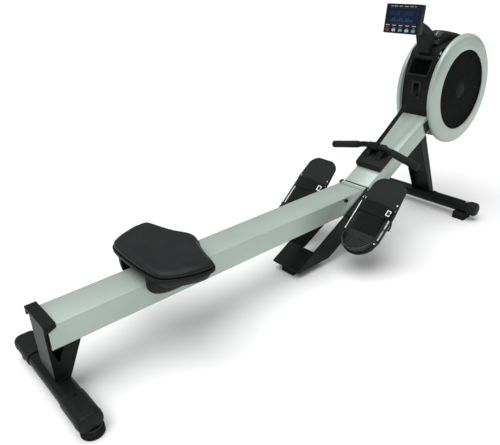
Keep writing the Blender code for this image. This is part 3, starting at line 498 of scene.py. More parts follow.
def settle(obj):
    """Applies an object's modifiers to its mesh."""
    graph = bpy.context.evaluated_depsgraph_get()
    mesh = bpy.data.meshes.new_from_object(obj.evaluated_get(graph))
    obj.modifiers.clear()
    obj.data = mesh
    return obj


def slab(name, outline, low, high, centre, turn, bevel=0.001, segments=2):
    """An outline of (x, y) points with a height from low to high, placed by a turn."""
    n = len(outline)
    verts = [(x, y, low) for x, y in outline] + [(x, y, high) for x, y in outline]
    faces = [tuple(range(n)), tuple(range(n, 2 * n))]
    faces += [(i, (i + 1) % n, n + (i + 1) % n, n + i) for i in range(n)]
    obj = raw(name, placed(verts, centre, turn), faces)
    shade(obj, 30.0)
    return soften(obj, bevel, segments) if bevel else obj


def dress(node, width, name=None, material=None, segments=2, angle=30.0):
    """A CAD node's own shape with its edges rounded as the real piece has them."""
    source = NODES[node]
    obj = bpy.data.objects.new(name or node + "_body", source.data.copy())
    bpy.context.scene.collection.objects.link(obj)
    work = bmesh.new()
    work.from_mesh(obj.data)
    bmesh.ops.remove_doubles(work, verts=work.verts, dist=1e-6)
    bmesh.ops.dissolve_limit(
        work, angle_limit=math.radians(0.8), verts=work.verts, edges=work.edges
    )
    work.to_mesh(obj.data)
    work.free()
    obj.data.materials.clear()
    shade(obj, angle)
    soften(obj, width, segments, angle)
    slot = NODE_SLOT[node]
    return adopt(obj, NODE_BODY[node], material or SLOTS[slot], [node])


def bolt(name, centre, axis, radius, height, body, material=STEEL, washer=True):
    """A cap screw's domed head with its hexagon socket, on a washer."""
    socket = radius * 0.52
    profile = [(0.0, height * 0.35), (socket, height * 0.35), (socket, height * 0.93)]
    profile += [(socket * 1.08, height)]
    for i in range(7):
        a = math.radians(90 * i / 6)
        low = height * 0.45
        profile.append((radius * 0.72 + radius * 0.28 * math.sin(a), low + (height - low) * math.cos(a)))
    if washer:
        profile += [(radius, height * 0.18), (radius * 1.35, height * 0.18)]
        profile += [(radius * 1.42, height * 0.09), (radius * 1.42, 0.0)]
    else:
        profile += [(radius, 0.0)]
    profile += [(0.0, 0.0)]
    obj = lathe(name, profile, centre, axis, 36, 30.0)
    return adopt(obj, body, material)


# ---------------------------------------------------------------- the CAD's own pieces
for node_name, node in NODES.items():
    node.data.materials.clear()
    node.data.materials.append(SLOTS[NODE_SLOT[node_name]])
    shade(node, 32.0)

for node_name, edge in (
    ("rail", 0.0016),
    ("front_tube", 0.0016),
    ("rail_hinge", 0.0012),
    ("rail_end_cap", 0.0016),
    ("rear_leg", 0.0022),
    ("front_post", 0.0018),
    ("middle_support", 0.0012),
    ("handle_cradle", 0.0016),
    ("console_arm", 0.0030),
    ("front_foot_left", 0.0030),
    ("front_foot_right", 0.0030),
    ("support_pad", 0.0030),
    ("seat_carriage", 0.0007),
    ("fork_left", 0.0006),
    ("fork_right", 0.0006),
):
    dress(node_name, edge)


# ---------------------------------------------------------------- seat
def vec_box(node):
    low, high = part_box(node)
    return low, high, (low + high) / 2


def inset_loop(loop, distance):
    """A closed outline moved inwards, with its corners kept soft."""
    n = len(loop)
    made = []
    for i, p in enumerate(loop):
        along = (loop[(i + 1) % n] - loop[i - 1]).normalized()
        made.append(p + Vector((-along.y, along.x)) * distance)
    return made


def seat_edge():
    """The pad's outline about its middle: a blunt nose in front, broad wings and a round back."""
    half = [(0.134, 0.0), (0.128, 0.030), (0.107, 0.075), (0.090, 0.130), (0.076, 0.183)]
    half += [(0.062, 0.211), (0.034, 0.219), (-0.004, 0.214), (-0.052, 0.197), (-0.096, 0.171)]
    half += [(-0.117, 0.145), (-0.126, 0.100), (-0.129, 0.040)]
    points = [(x, y, 0) for x, y in half] + [(x, -y, 0) for x, y in half[:0:-1]]
    return [Vector((p.x, p.y)) for p in smooth_path(points, 144, closed=True)]


SEAT_LOW, SEAT_HIGH, SEAT_MID = vec_box("seat_pad")
SEAT_AT = Vector((SEAT_MID.x + (-0.134 + 0.129) / 2, 0, SEAT_LOW.z))


def seat_sections(levels):
    edge = seat_edge()
    made = []
    for height, inset in levels:
        ring = inset_loop(edge, inset)
        made.append([Vector((p.x, p.y, height)) + SEAT_AT for p in ring])
    return made


def stuffed(obj, voxel, pressure, cap, frames=20):
    """Blows up a closed form with cloth, and keeps each point within cap of where it was."""
    remesh = obj.modifiers.new("remesh", "REMESH")
    remesh.mode, remesh.voxel_size = "VOXEL", voxel
    settle(obj)
    rest = [v.co.copy() for v in obj.data.vertices]
    cloth = obj.modifiers.new("cloth", "CLOTH")
    cloth.settings.use_pressure = True
    cloth.settings.uniform_pressure_force = pressure
    cloth.settings.effector_weights.gravity = 0
    cloth.settings.quality = 4
    scene = bpy.context.scene
    for number in range(1, frames + 1):
        scene.frame_set(number)
    graph = bpy.context.evaluated_depsgraph_get()
    blown = [v.co.copy() for v in obj.evaluated_get(graph).data.vertices]
    obj.modifiers.clear()
    scene.frame_set(1)
    for vertex, start, end in zip(obj.data.vertices, rest, blown):
        step = end - start
        vertex.co = start + step * min(1.0, cap / max(step.length, 1e-9))
    return obj


def make_seat_sides():
    """Rounded bodies on both sides of the rail, which hide the carriage's skirts."""
    inner, width, depth, brim = 0.0792, 0.040, 0.084, 0.012
    roof = SEAT_LOW.z - 0.0006
    for side, sign in SIDES:
        sections = []
        for i in range(33):
            t = i / 32
            swell = max(0.03, math.sin(math.pi * t)) ** 0.42
            x = SEAT_AT.x - 0.018 + 0.104 * math.cos(math.pi * (1 - t))
            ring = [(inner, roof), (inner, roof - depth * swell)]
            for k in range(9):
                a = math.radians(90 * k / 8)
                y = inner + width * swell * (0.25 + 0.75 * math.sin(a))
                drop = brim + (depth - brim) * math.cos(a)
                ring.append((y, roof - drop * swell))
            ring.append((inner + width * swell, roof))
            sections.append([Vector((x, sign * y, z)) for y, z in ring])
        lobe = loft("seat_side_" + side, sections, 50.0)
        adopt(lobe, "seat", PLASTIC)


def make_seat():
    """The tray, the side bodies, the stuffed cushion with its dished top, and the welt."""
    # pairs of height above the pad's underside and inset from its outline
    pan = [(-0.0330, 0.046), (-0.0326, 0.038), (-0.0270, 0.028), (-0.0130, 0.019)]
    pan += [(-0.0020, 0.014), (0.0004, 0.007), (0.0040, 0.0022), (0.0120, 0.0012)]
    pan += [(0.0135, 0.0030), (0.0135, 0.030)]
    tray = loft("seat_tray", seat_sections(pan), 35.0)
    adopt(tray, "seat", PLASTIC)

    make_seat_sides()

    skin = [(0.0138, 0.034), (0.0138, 0.010), (0.0150, 0.0052), (0.0195, 0.0030)]
    skin += [(0.0270, 0.0040), (0.0330, 0.0085), (0.0362, 0.0155), (0.0372, 0.0240)]
    sections = seat_sections(skin)
    for inset, drop in ((0.040, 0.0008), (0.062, 0.0022), (0.088, 0.0034), (0.112, 0.0038)):
        ring = seat_sections([(0.0372 - drop, min(inset, 0.045))])[0]
        k = (0.130 - inset) / (0.130 - 0.045) if inset > 0.045 else 1.0
        x0 = SEAT_AT.x - 0.004
        sections.append([Vector((x0 + (p.x - x0) * k, p.y * k, p.z)) for p in ring])
    cover = loft("seat_cushion", sections, 60.0)
    stuffed(cover, 0.0045, 4.0, 0.0030)
    dish = []
    for vertex in cover.data.vertices:
        p = vertex.co
        x, y = p.x - SEAT_AT.x, p.y
        high = max(0.0, (p.z - SEAT_AT.z - 0.030) / 0.008)
        bowl = math.exp(-(((x + 0.018) / 0.070) ** 2) - ((abs(y) - 0.085) / 0.062) ** 2)
        swell = noise.noise(Vector((p.x * 14, p.y * 14, p.z * 14))) * 0.0007
        dish.append((p.x, p.y, min(p.z - min(1.0, high) * 0.0042 * bowl + swell, SEAT_HIGH.z + 0.004)))
    for vertex, co in zip(cover.data.vertices, dish):
        vertex.co = co
    shade(cover, 180.0)
    sub = cover.modifiers.new("smooth", "SUBSURF")
    sub.levels = sub.render_levels = 1
    smooth = cover.modifiers.new("relax", "SMOOTH")
    smooth.factor, smooth.iterations = 0.5, 3
    settle(cover)
    shade(cover, 180.0)
    adopt(cover, "seat", VINYL, ["seat_pad"])

    welt_line = seat_sections([(0.0150, 0.0030)])[0]
    welt = sweep("seat_welt", circle(0.0016, 8), welt_line, (0, 0, 1), 60.0, closed=True)
    adopt(welt, "seat", VINYL)


make_seat()


# ---------------------------------------------------------------- fan cover
FAN = vec_box("fan_axle")[2]
FAN_X, FAN_Z = FAN.x, FAN.z
RING_LOW, RING_HIGH, _ = vec_box("ring_left")
RING_R = (RING_HIGH.x - RING_LOW.x) / 2
RING_OUT = RING_HIGH.y
GRILLE_R = (vec_box("grille_left")[1].x - vec_box("grille_left")[0].x) / 2
GRILLE_OUT = vec_box("grille_left")[1].y


def polar(angle, radius):
    """A point in the fan's plane, at an angle in degrees and a distance from its axis."""
    a = math.radians(angle)
    return FAN_X + radius * math.cos(a), FAN_Z + radius * math.sin(a)


def make_ring(side, sign):
    """The silver ring: a flat satin face, a rolled shoulder and a lip that turns in behind."""
    r, out, bore = RING_R, RING_OUT, 0.1900
    profile = [(bore + 0.0012, out - 0.0006), (bore + 0.0030, out)]
    profile += [(r - 0.046, out), (r - 0.044, out - 0.0004)]
    for i in range(13):
        a = math.radians(90 * i / 12)
        along = out - 0.0245 + 0.0235 * math.cos(a) ** 0.62
        profile.append((r - 0.040 + 0.040 * math.sin(a) ** 0.9, along))
    profile += [(r - 0.0006, out - 0.0275), (r - 0.0050, out - 0.0305), (r - 0.024, out - 0.0305)]
    profile += [(r - 0.024, out - 0.0272), (r - 0.010, out - 0.0262), (r - 0.008, out - 0.020)]
    profile += [(r - 0.012, out - 0.0135), (r - 0.024, out - 0.0080), (r - 0.042, out - 0.0050)]
    profile += [(bore, out - 0.0050), (bore, out - 0.0016)]
    ring = lathe("ring_cover_" + side, profile, (FAN_X, 0, FAN_Z), (0, sign, 0), 144, 40.0)
    adopt(ring, "frame", LACQUER, ["ring_" + side])


def make_guard(side, sign):
    """Wire guard: fine hoops and spokes on a rim, with a round boss in the middle."""
    verts, faces = [], []

    def hoop(radius, half, low, high, steps):
        start = len(verts)
        for i in range(steps):
            a = 2 * math.pi * i / steps
            inner, outer = radius - half, radius + half
            for rr, y in ((inner, low), (inner, high), (outer, high), (outer, low)):
                verts.append((FAN_X + rr * math.cos(a), sign * y, FAN_Z + rr * math.sin(a)))
        for i in range(steps):
            a, b = start + 4 * i, start + 4 * ((i + 1) % steps)
            for k in range(4):
                m = (k + 1) % 4
                faces.append((a + k, a + m, b + m, b + k))

    low, high = GRILLE_OUT - 0.0040, GRILLE_OUT
    for i in range(27):
        hoop(0.0400 + i * 0.0060, 0.0010, low + 0.0016, high - 0.0002, 96)
    hoop(GRILLE_R - 0.012, 0.0115, low, high, 120)
    for i in range(60):
        a = 2 * math.pi * i / 60
        u, v = Vector((math.cos(a), 0, math.sin(a))), Vector((-math.sin(a), 0, math.cos(a)))
        hub = 0.034 if i % 2 == 0 else 0.094
        start = len(verts)
        half, face = 0.0011, high - 0.0008
        for r in (hub, GRILLE_R - 0.020):
            for w, y in ((-half, low), (-half, face), (half, face), (half, low)):
                verts.append(Vector((FAN_X, 0, FAN_Z)) + u * r + v * w + Vector((0, sign * y, 0)))
        for k in range(4):
            m = (k + 1) % 4
            faces.append((start + k, start + m, start + 4 + m, start + 4 + k))
        faces.append((start, start + 1, start + 2, start + 3))
        faces.append((start + 4, start + 5, start + 6, start + 7))
    guard = shade(raw("wire_guard_" + side, verts, faces), 30.0)
    adopt(guard, "frame", GUARD_BLACK, ["grille_" + side])
    profile = [(0.0, 0.0016), (0.022, 0.0012), (0.031, 0.0002), (0.0370, -0.0014), (0.0370, -0.0040)]
    profile += [(0.0, -0.0040)]
    boss = lathe("guard_boss_" + side, profile, (FAN_X, sign * GRILLE_OUT, FAN_Z), (0, sign, 0), 64)
    adopt(boss, "frame", GUARD_BLACK)
    for i in range(6):
        x, z = polar(360 * (i + 0.5) / 6, GRILLE_R - 0.0155)
        spot = (x, sign * (GRILLE_OUT - 0.0002), z)
        bolt("guard_screw_%s_%d" % (side, i + 1), spot, (0, sign, 0), 0.0032, 0.0022, "frame", PAINT, False)


for side, sign in SIDES:
    make_ring(side, sign)
    make_guard(side, sign)


# ---------------------------------------------------------------- housing, pod and knob
def drum_radius(angle):
    """The housing's outside radius from the fan's axis, at an angle in degrees."""
    stops = [(-136, 0.242), (90, 0.242), (100, 0.2432), (111, 0.2515), (121, 0.2665), (130, 0.2765)]
    stops += [(137.7, 0.2740), (148, 0.2625), (161, 0.2495), (176, 0.2430), (190, 0.2440), (202.2, 0.2510)]
    for (a0, r0), (a1, r1) in zip(stops, stops[1:]):
        if a0 <= angle <= a1:
            t = (angle - a0) / (a1 - a0)
            return r0 + (r1 - r0) * (t * t * (3 - 2 * t))
    return 0.242


def fascia_frame(z):
    """The centre and turn of the housing's rear face at a height, with local Z pointing out."""
    best = min(range(1400, 2020), key=lambda a: abs(polar(a / 10, drum_radius(a / 10))[1] - z)) / 10
    x, zz = polar(best, drum_radius(best))
    x2, z2 = polar(best - 2, drum_radius(best - 2))
    up = Vector((x2 - x, 0, z2 - zz)).normalized()
    across = Vector((0, -1, 0))
    out = across.cross(up)
    if out.x > 0:
        out, across = -out, -across
    return Vector((x, 0, zz)), Matrix((across, up, out)).transposed()


def frame_loop(name, outer, inner, low, high, centre, turn, bevel=0.0008):
    """A raised frame: an outline with an opening, from low to high."""
    n = len(outer)
    verts = []
    for z in (low, high):
        verts += [(x, y, z) for x, y in outer] + [(x, y, z) for x, y in inner]
    faces = []
    for i in range(n):
        j = (i + 1) % n
        faces.append((i, j, n + j, n + i))
        faces.append((2 * n + i, 2 * n + j, 3 * n + j, 3 * n + i))
        faces.append((i, j, 2 * n + j, 2 * n + i))
        faces.append((n + i, n + j, 3 * n + j, 3 * n + i))
    obj = raw(name, placed(verts, centre, turn), faces)
    shade(obj, 30.0)
    return soften(obj, bevel, 2)


dress("housing_shell", 0.0012)
BEZEL = black_plastic("bezel_plastic", 0.018, (0.40, 0.54))
LINER = black_plastic("window_liner_plastic", 0.020, (0.42, 0.56))

SLOT_Z, WINDOW_Z = 0.648, 0.753
for label, z, wide, tall, rim in (
    ("slot", SLOT_Z, 0.028, 0.062, 0.011),
    ("window", WINDOW_Z, 0.104, 0.078, 0.006),
):
    centre, turn = fascia_frame(z)
    bezel = frame_loop(
        label + "_bezel",
        rounded(wide + 2 * rim, tall + 2 * rim, 0.006),
        rounded(wide - 0.0006, tall - 0.0006, 0.003),
        -0.0015,
        0.0028,
        centre,
        turn,
    )
    adopt(bezel, "frame", BEZEL)
centre, turn = fascia_frame(WINDOW_Z)
liner = frame_loop(
    "window_liner",
    rounded(0.1034, 0.0774, 0.003),
    rounded(0.0990, 0.0730, 0.002),
    -0.026,
    -0.0002,
    centre,
    turn,
    0.0003,
)
adopt(liner, "frame", LINER)
for i in range(7):
    y = (i - 3) * 0.0118
    spot = centre + Vector((0, y, 0))
    outline = rounded(0.0016, 0.0720, 0.0004, 2)
    vane = slab("window_vane_%d" % (i + 1), outline, -0.024, -0.010, spot, turn, 0.0002, 1)
    adopt(vane, "frame", GUARD_BLACK)
gauze = slab("window_gauze", rounded(0.1000, 0.0740, 0.0040, 3), -0.0262, -0.0250, centre, turn, 0.0003, 1)
adopt(gauze, "frame", GUARD_BLACK)
header_ends = [centre + turn @ Vector((x, 0.047, 0.003)) for x in (-0.049, 0.049)]
bar = sweep("window_header", rounded(0.004, 0.008, 0.0018, 3), smooth_path(header_ends, 4), (1, 0, 0), 40.0)
adopt(bar, "frame", LINER)
for i, (y, z) in enumerate(((0.060, 0.700), (-0.060, 0.700), (0.060, 0.600), (-0.060, 0.600))):
    spot, face = fascia_frame(z)
    bolt(
        "shell_screw_%d" % (i + 1), spot + Vector((0, y, 0)), face @ Vector((0, 0, 1)), 0.0036, 0.0022,
        "frame", PAINT, False,
    )


def make_seams():
    """The parting lines where the housing's band meets its two side covers."""
    for side, sign in SIDES:
        path = []
        for i in range(0, 61):
            a = -100 + i * (300 / 60)
            x, z = polar(a, drum_radius(a) + 0.0002)
            path.append((x, sign * 0.0640, z))
        lip = sweep("housing_seam_" + side, rounded(0.0030, 0.0014, 0.0005, 2), path, (0, 1, 0), 40.0)
        adopt(lip, "frame", BEZEL)


make_seams()


def make_pod():
    """The lobe on top of the housing: a rounded back that slopes down forward between the rings."""
    under_angles = [126 - i * 3.9 for i in range(13)]
    low = [polar(a, drum_radius(a) + 0.0012) for a in under_angles]
    top = [(0.7770, 0.8510), (0.8000, 0.8720), (0.8240, 0.8935), (0.8390, 0.9000), (0.8620, 0.9005)]
    top += [(0.8830, 0.8970), (0.9050, 0.8925), (0.9300, 0.8870), (0.9490, 0.8832), (0.9650, 0.8790)]
    top += [(0.9770, 0.8750), (0.9850, 0.8710), (0.9900, 0.8680)]
    sections = []
    for (x0, z0), (x1, z1) in zip(low, top):
        middle_top = Vector((x1, 0, z1))
        middle_low = Vector((x0, 0, z0))
        ring = []
        for i in range(24):
            t = math.pi * i / 23
            y = -0.0455 * math.copysign(abs(math.cos(t)) ** 0.45, math.cos(t))
            k = math.sin(t) ** 0.55
            ring.append(middle_low.lerp(middle_top, k) + Vector((0, y, 0)))
        for i in range(1, 9):
            y = 0.0455 - 0.091 * i / 9
            ring.append(middle_low + Vector((0, y, 0)))
        sections.append(ring)
    pod = loft("pod_cover", sections, 50.0)
    adopt(pod, "frame", PLASTIC, ["control_pod"])


make_pod()

KNOB_AXIS = Vector((-0.6768760, 0, 0.7360971))
KNOB_FOOT = Vector((0.8115, -0.022, 0.8827))


def make_knob():
    """A dial with a fluted skirt, a smooth crown and one pointer ridge."""
    turn = axes_for(KNOB_AXIS)
    heights = [(0.0012, 0.0190), (0.0020, 0.0194), (0.0100, 0.0186), (0.0125, 0.0178)]
    heights += [(0.0145, 0.0166), (0.0156, 0.0148), (0.0160, 0.0120)]
    steps, flutes, flute_depth = 144, 24, 0.0007

    def ring(radius, height, depth):
        points = []
        for i in range(steps):
            a = 2 * math.pi * i / steps
            r = radius - depth * (0.5 + 0.5 * math.cos(flutes * a))
            points.append((r * math.cos(a), r * math.sin(a), height))
        return placed(points, KNOB_FOOT, turn)

    sections = [ring(r, h, flute_depth if h < 0.0120 else 0.0) for h, r in heights]
    sections.append(ring(0.009, 0.0154, 0.0))
    knob = loft("dial_knob", sections, 40.0)
    adopt(knob, "knob", GREY_PLASTIC, ["resistance_knob"])
    ridge = slab("dial_pointer", rounded(0.0030, 0.026, 0.0012, 4), 0.0150, 0.0176, KNOB_FOOT, turn, 0.0008)
    adopt(ridge, "knob", PALE_KEY)
    for i in range(9):
        a = math.radians(-120 + 30 * i)
        spot = KNOB_FOOT + turn @ Vector((0.0235 * math.cos(a), 0.0235 * math.sin(a), 0.0))
        if abs(spot.y) < 0.043:
            tick = slab(
                "dial_tick_%d" % (i + 1),
                rounded(0.0040, 0.0011, 0.0004, 2),
                -0.0016,
                -0.0004,
                spot,
                turn @ Matrix.Rotation(a, 3, "Z"),
                0.0,
            )
            adopt(tick, "frame", PRINT)


make_knob()


# ---------------------------------------------------------------- console
CONSOLE_AT = Vector((0.5590, 0, 0.974))
CONSOLE_T = 0.038  # the case's depth
TILT = Matrix.Rotation(math.radians(8.0), 3, "Y")
# the console's face looks back at the rower: local x to the rower's right, y up, z out of the face
FACE = TILT @ Matrix(((0, 0, -1), (-1, 0, 0), (0, 1, 0)))


def on_face(x, y, z=0.0):
    return CONSOLE_AT + TILT @ Vector((-CONSOLE_T / 2 - z, -x, y))


def make_console():
    dress("console_housing", 0.0022, "console_case", CASE_PLASTIC)
    rim = frame_loop(
        "screen_rim",
        rounded(0.1560, 0.0660, 0.005),
        rounded(0.1492, 0.0592, 0.002),
        -0.0008,
        0.0012,
        on_face(0, 0.0115),
        FACE,
        0.0006,
    )
    adopt(rim, "console", BEZEL)
    behind = CONSOLE_AT + TILT @ Vector((CONSOLE_T / 2, 0, 0.0))
    facing_front = TILT @ Matrix(((0, 0, 1), (1, 0, 0), (0, 1, 0)))
    pad_outline = rounded(0.118, 0.080, 0.010)
    back = slab("console_back_pad", pad_outline, -0.0008, 0.0022, behind, facing_front, 0.0012)
    adopt(back, "console", PLASTIC)

    def mark(name, x, y, w, h, z, material):
        piece = slab(name, rounded(w, h, min(w, h) * 0.3, 2), z, z + 0.00025, on_face(x, y), FACE, 0.0)
        return adopt(piece, "console", material)

    upper = [(-0.056, 0.014), (-0.036, 0.018), (-0.012, 0.016), (0.016, 0.020)]
    upper += [(0.042, 0.016), (0.060, 0.008)]
    for i, (x, w) in enumerate(upper):
        mark("upper_mark_%d" % (i + 1), x, 0.0500, w, 0.0030, 0.0, PRINT)
    for i in range(5):
        x = -0.066 + 0.033 * i
        mark("lower_mark_%d" % (i + 1), x, -0.0272, 0.020, 0.0036, 0.0, PRINT)
        mark("key_mark_%d" % (i + 1), x, -0.0362, 0.011, 0.0012, 0.0, PRINT)

    def segment(name, w, h, radius, x, y):
        piece = slab(name, rounded(w, h, radius, 2), -0.0004, -0.00015, on_face(x, y), FACE, 0.0)
        adopt(piece, "console", SEGMENT)

    def digit(label, x, y, w, h, lit):
        t = w * 0.22
        bars = {
            "a": (0, h / 2, w - t, t), "g": (0, 0, w - t, t), "d": (0, -h / 2, w - t, t),
            "f": (-w / 2, h / 4, t, h / 2 - t), "b": (w / 2, h / 4, t, h / 2 - t),
            "e": (-w / 2, -h / 4, t, h / 2 - t), "c": (w / 2, -h / 4, t, h / 2 - t),
        }
        for k in lit:
            bx, by, bw, bh = bars[k]
            segment("lcd_%s_%s" % (label, k), bw, bh, min(bw, bh) * 0.25, x + bx, y + by)

    zero = "abcdef"
    for i, x in enumerate((-0.058, -0.046, -0.030, -0.018)):
        digit("time%d" % i, x, 0.022, 0.0070, 0.0130, zero)
    for i, x in enumerate((0.020, 0.034, 0.048)):
        digit("rate%d" % i, x, 0.022, 0.0070, 0.0130, zero)
    for i in range(12):
        h = 0.004 + 0.012 * abs(math.sin(i * 0.9))
        segment("lcd_bar_%d" % i, 0.0060, h, 0.0006, -0.058 + i * 0.0100, -0.0120 + h / 2)

    colours = [RED_KEY, PALE_KEY, BLUE_KEY, PALE_KEY, BLUE_KEY]
    for i, material in enumerate(colours):
        node = "button_%d" % (i + 1)
        low, high, mid = vec_box(node)
        x = -mid.y
        local = TILT.inverted() @ (mid - CONSOLE_AT)
        cap_sections = []
        for z, s in ((-0.0023, 0.0), (0.0008, 0.0), (0.0016, 0.0006), (0.0021, 0.0017), (0.0022, 0.0034)):
            outline = rounded(0.0180 - 2 * s, 0.0110 - 2 * s, max(0.0024 - s * 0.5, 0.0006), 5)
            cap_sections.append(placed([(u, v, z) for u, v in outline], on_face(x, local.z), FACE))
        cap = loft("key_cap_%d" % (i + 1), cap_sections, 35.0)
        adopt(cap, "key_%d" % (i + 1), material, [node])


make_console()


# ---------------------------------------------------------------- handle and strap
HANDLE_AT = Vector((0.420, 0, 0.435))
HANDLE_HALF, HANDLE_R = 0.239, 0.0132


def handle_point(y):
    """The bar's centre line: straight in the middle, swept down and back to its ends."""
    t = max(0.0, (abs(y) - 0.048) / (HANDLE_HALF - 0.048))
    bend = t if t > 0.2 else t * t / 0.2 * 0.5 + t * 0.5
    return HANDLE_AT + Vector((-0.014 * bend, y, -0.038 * bend))


def make_handle():
    ys = [-0.235 + i * 0.470 / 80 for i in range(81)]
    bar = sweep("handle_tube", circle(HANDLE_R, 28), [handle_point(y) for y in ys], (0, 0, 1), 60.0)
    adopt(bar, "handle", PAINT, ["handle_bar"])
    profile = [(HANDLE_R - 0.001, -0.0165), (0.0168, -0.0165), (0.0180, -0.0158), (0.0184, -0.0145)]
    for i in range(5):
        y = -0.0100 + i * 0.0050
        profile += [(0.0184, y - 0.0016), (0.0176, y - 0.0008), (0.0176, y + 0.0008), (0.0184, y + 0.0016)]
    profile += [(0.0184, 0.0145), (0.0180, 0.0158), (0.0168, 0.0165), (HANDLE_R - 0.001, 0.0165)]
    clamp = lathe("handle_clamp", profile, HANDLE_AT, (0, 1, 0), 64, 30.0)
    adopt(clamp, "handle", PLASTIC)
    for side, sign in SIDES:
        low, high = handle_point(sign * 0.0955), handle_point(sign * 0.2355)
        along = (high - low).normalized()
        length = (high - low).length
        r = 0.0167
        profile = [(0.0, length + 0.0034), (0.0085, length + 0.0034), (0.0095, length + 0.0026)]
        for i in range(9):
            a = math.radians(90 * i / 8)
            profile.append((r - 0.0042 + 0.0042 * math.sin(a), length - 0.0010 + 0.0040 * math.cos(a)))
        for i in range(13):
            h = length - 0.012 - i * (length - 0.024) / 12
            profile += [(r, h + 0.0016), (r - 0.0006, h), (r, h - 0.0016)]
        profile += [(r, 0.0060), (r - 0.0006, 0.0020), (r - 0.0020, 0.0004), (HANDLE_R + 0.0001, 0.0)]
        profile += [(0.0, 0.0)]
        grip = lathe("foam_sleeve_" + side, profile, low, along, 56, 40.0)
        adopt(grip, "handle", FOAM, ["grip_" + side])
        profile = [(HANDLE_R, -0.004), (0.0152, -0.0036), (0.0156, -0.0008), (HANDLE_R, -0.0004)]
        band = lathe("grip_band_" + side, profile, low, along, 48, 30.0)
        adopt(band, "handle", PLASTIC)


make_handle()


def make_strap():
    """The woven pull strap: flat from the spool, through the slot, to a stitched eye on the clamp."""
    spool = vec_box("strap_spool")[2]
    wrap = 0.026 + 0.0003 + 0.0009
    dx, dz = spool.x - HANDLE_AT.x, spool.z - HANDLE_AT.z
    angle = math.atan2(dz, dx) + math.asin(wrap / math.hypot(dx, dz))
    along = Vector((math.cos(angle), 0, math.sin(angle)))
    up = Vector((-math.sin(angle), 0, math.cos(angle)))
    start = HANDLE_AT + along * 0.0187
    end = Vector((spool.x - wrap * math.sin(angle), 0, spool.z + wrap * math.cos(angle)))
    length = (end - start).length
    path = [start + along * (length * i / 120) for i in range(121)]
    section = [(u, v) for u, v in rounded(0.0238, 0.0017, 0.0007, 3)]
    strap = sweep("pull_strap", section, path, (0, 1, 0), 40.0)
    strap.data.materials.append(WEBBING)
    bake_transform(strap)
    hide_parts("strap")
    fold = [start + along * (0.001 + 0.046 * i / 12) + up * 0.0019 for i in range(13)]
    tab = sweep("strap_fold", rounded(0.0234, 0.0016, 0.0007, 3), fold, (0, 1, 0), 40.0)
    adopt(tab, "handle", WEBBING)
    for k, s in enumerate((0.016, 0.022, 0.038, 0.043)):
        across = (-0.0095, -0.003, 0.003, 0.0095)
        line = [start + along * s + up * 0.0029 + Vector((0, y, 0)) for y in across]
        stitch = sweep("strap_stitch_%d" % (k + 1), circle(0.0004, 6), line, (1, 0, 0), 60.0)
        adopt(stitch, "handle", BEZEL)
    eye = []
    for i in range(25):
        a = angle + math.radians(-104 + 208 * i / 24)
        eye.append(HANDLE_AT + Vector((math.cos(a), 0, math.sin(a))) * 0.0193)
    loop = sweep("strap_eye", rounded(0.0236, 0.0014, 0.0006, 3), eye, (0, 1, 0), 40.0)
    adopt(loop, "handle", WEBBING)
    turns = [(0.0262, -0.0119), (0.0262, 0.0119), (0.0256, 0.0119), (0.0256, -0.0119)]
    spool_band = lathe("spool_wrap", turns, spool, (0, 1, 0), 64)
    adopt(spool_band, "spool", WEBBING)


make_strap()


# ---------------------------------------------------------------- foot rests
PEDAL_X, PEDAL_Z, PEDAL_Y = 0.174, 0.180, 0.194
PEDAL_TURN = Matrix.Rotation(-math.radians(42.0), 3, "Y")


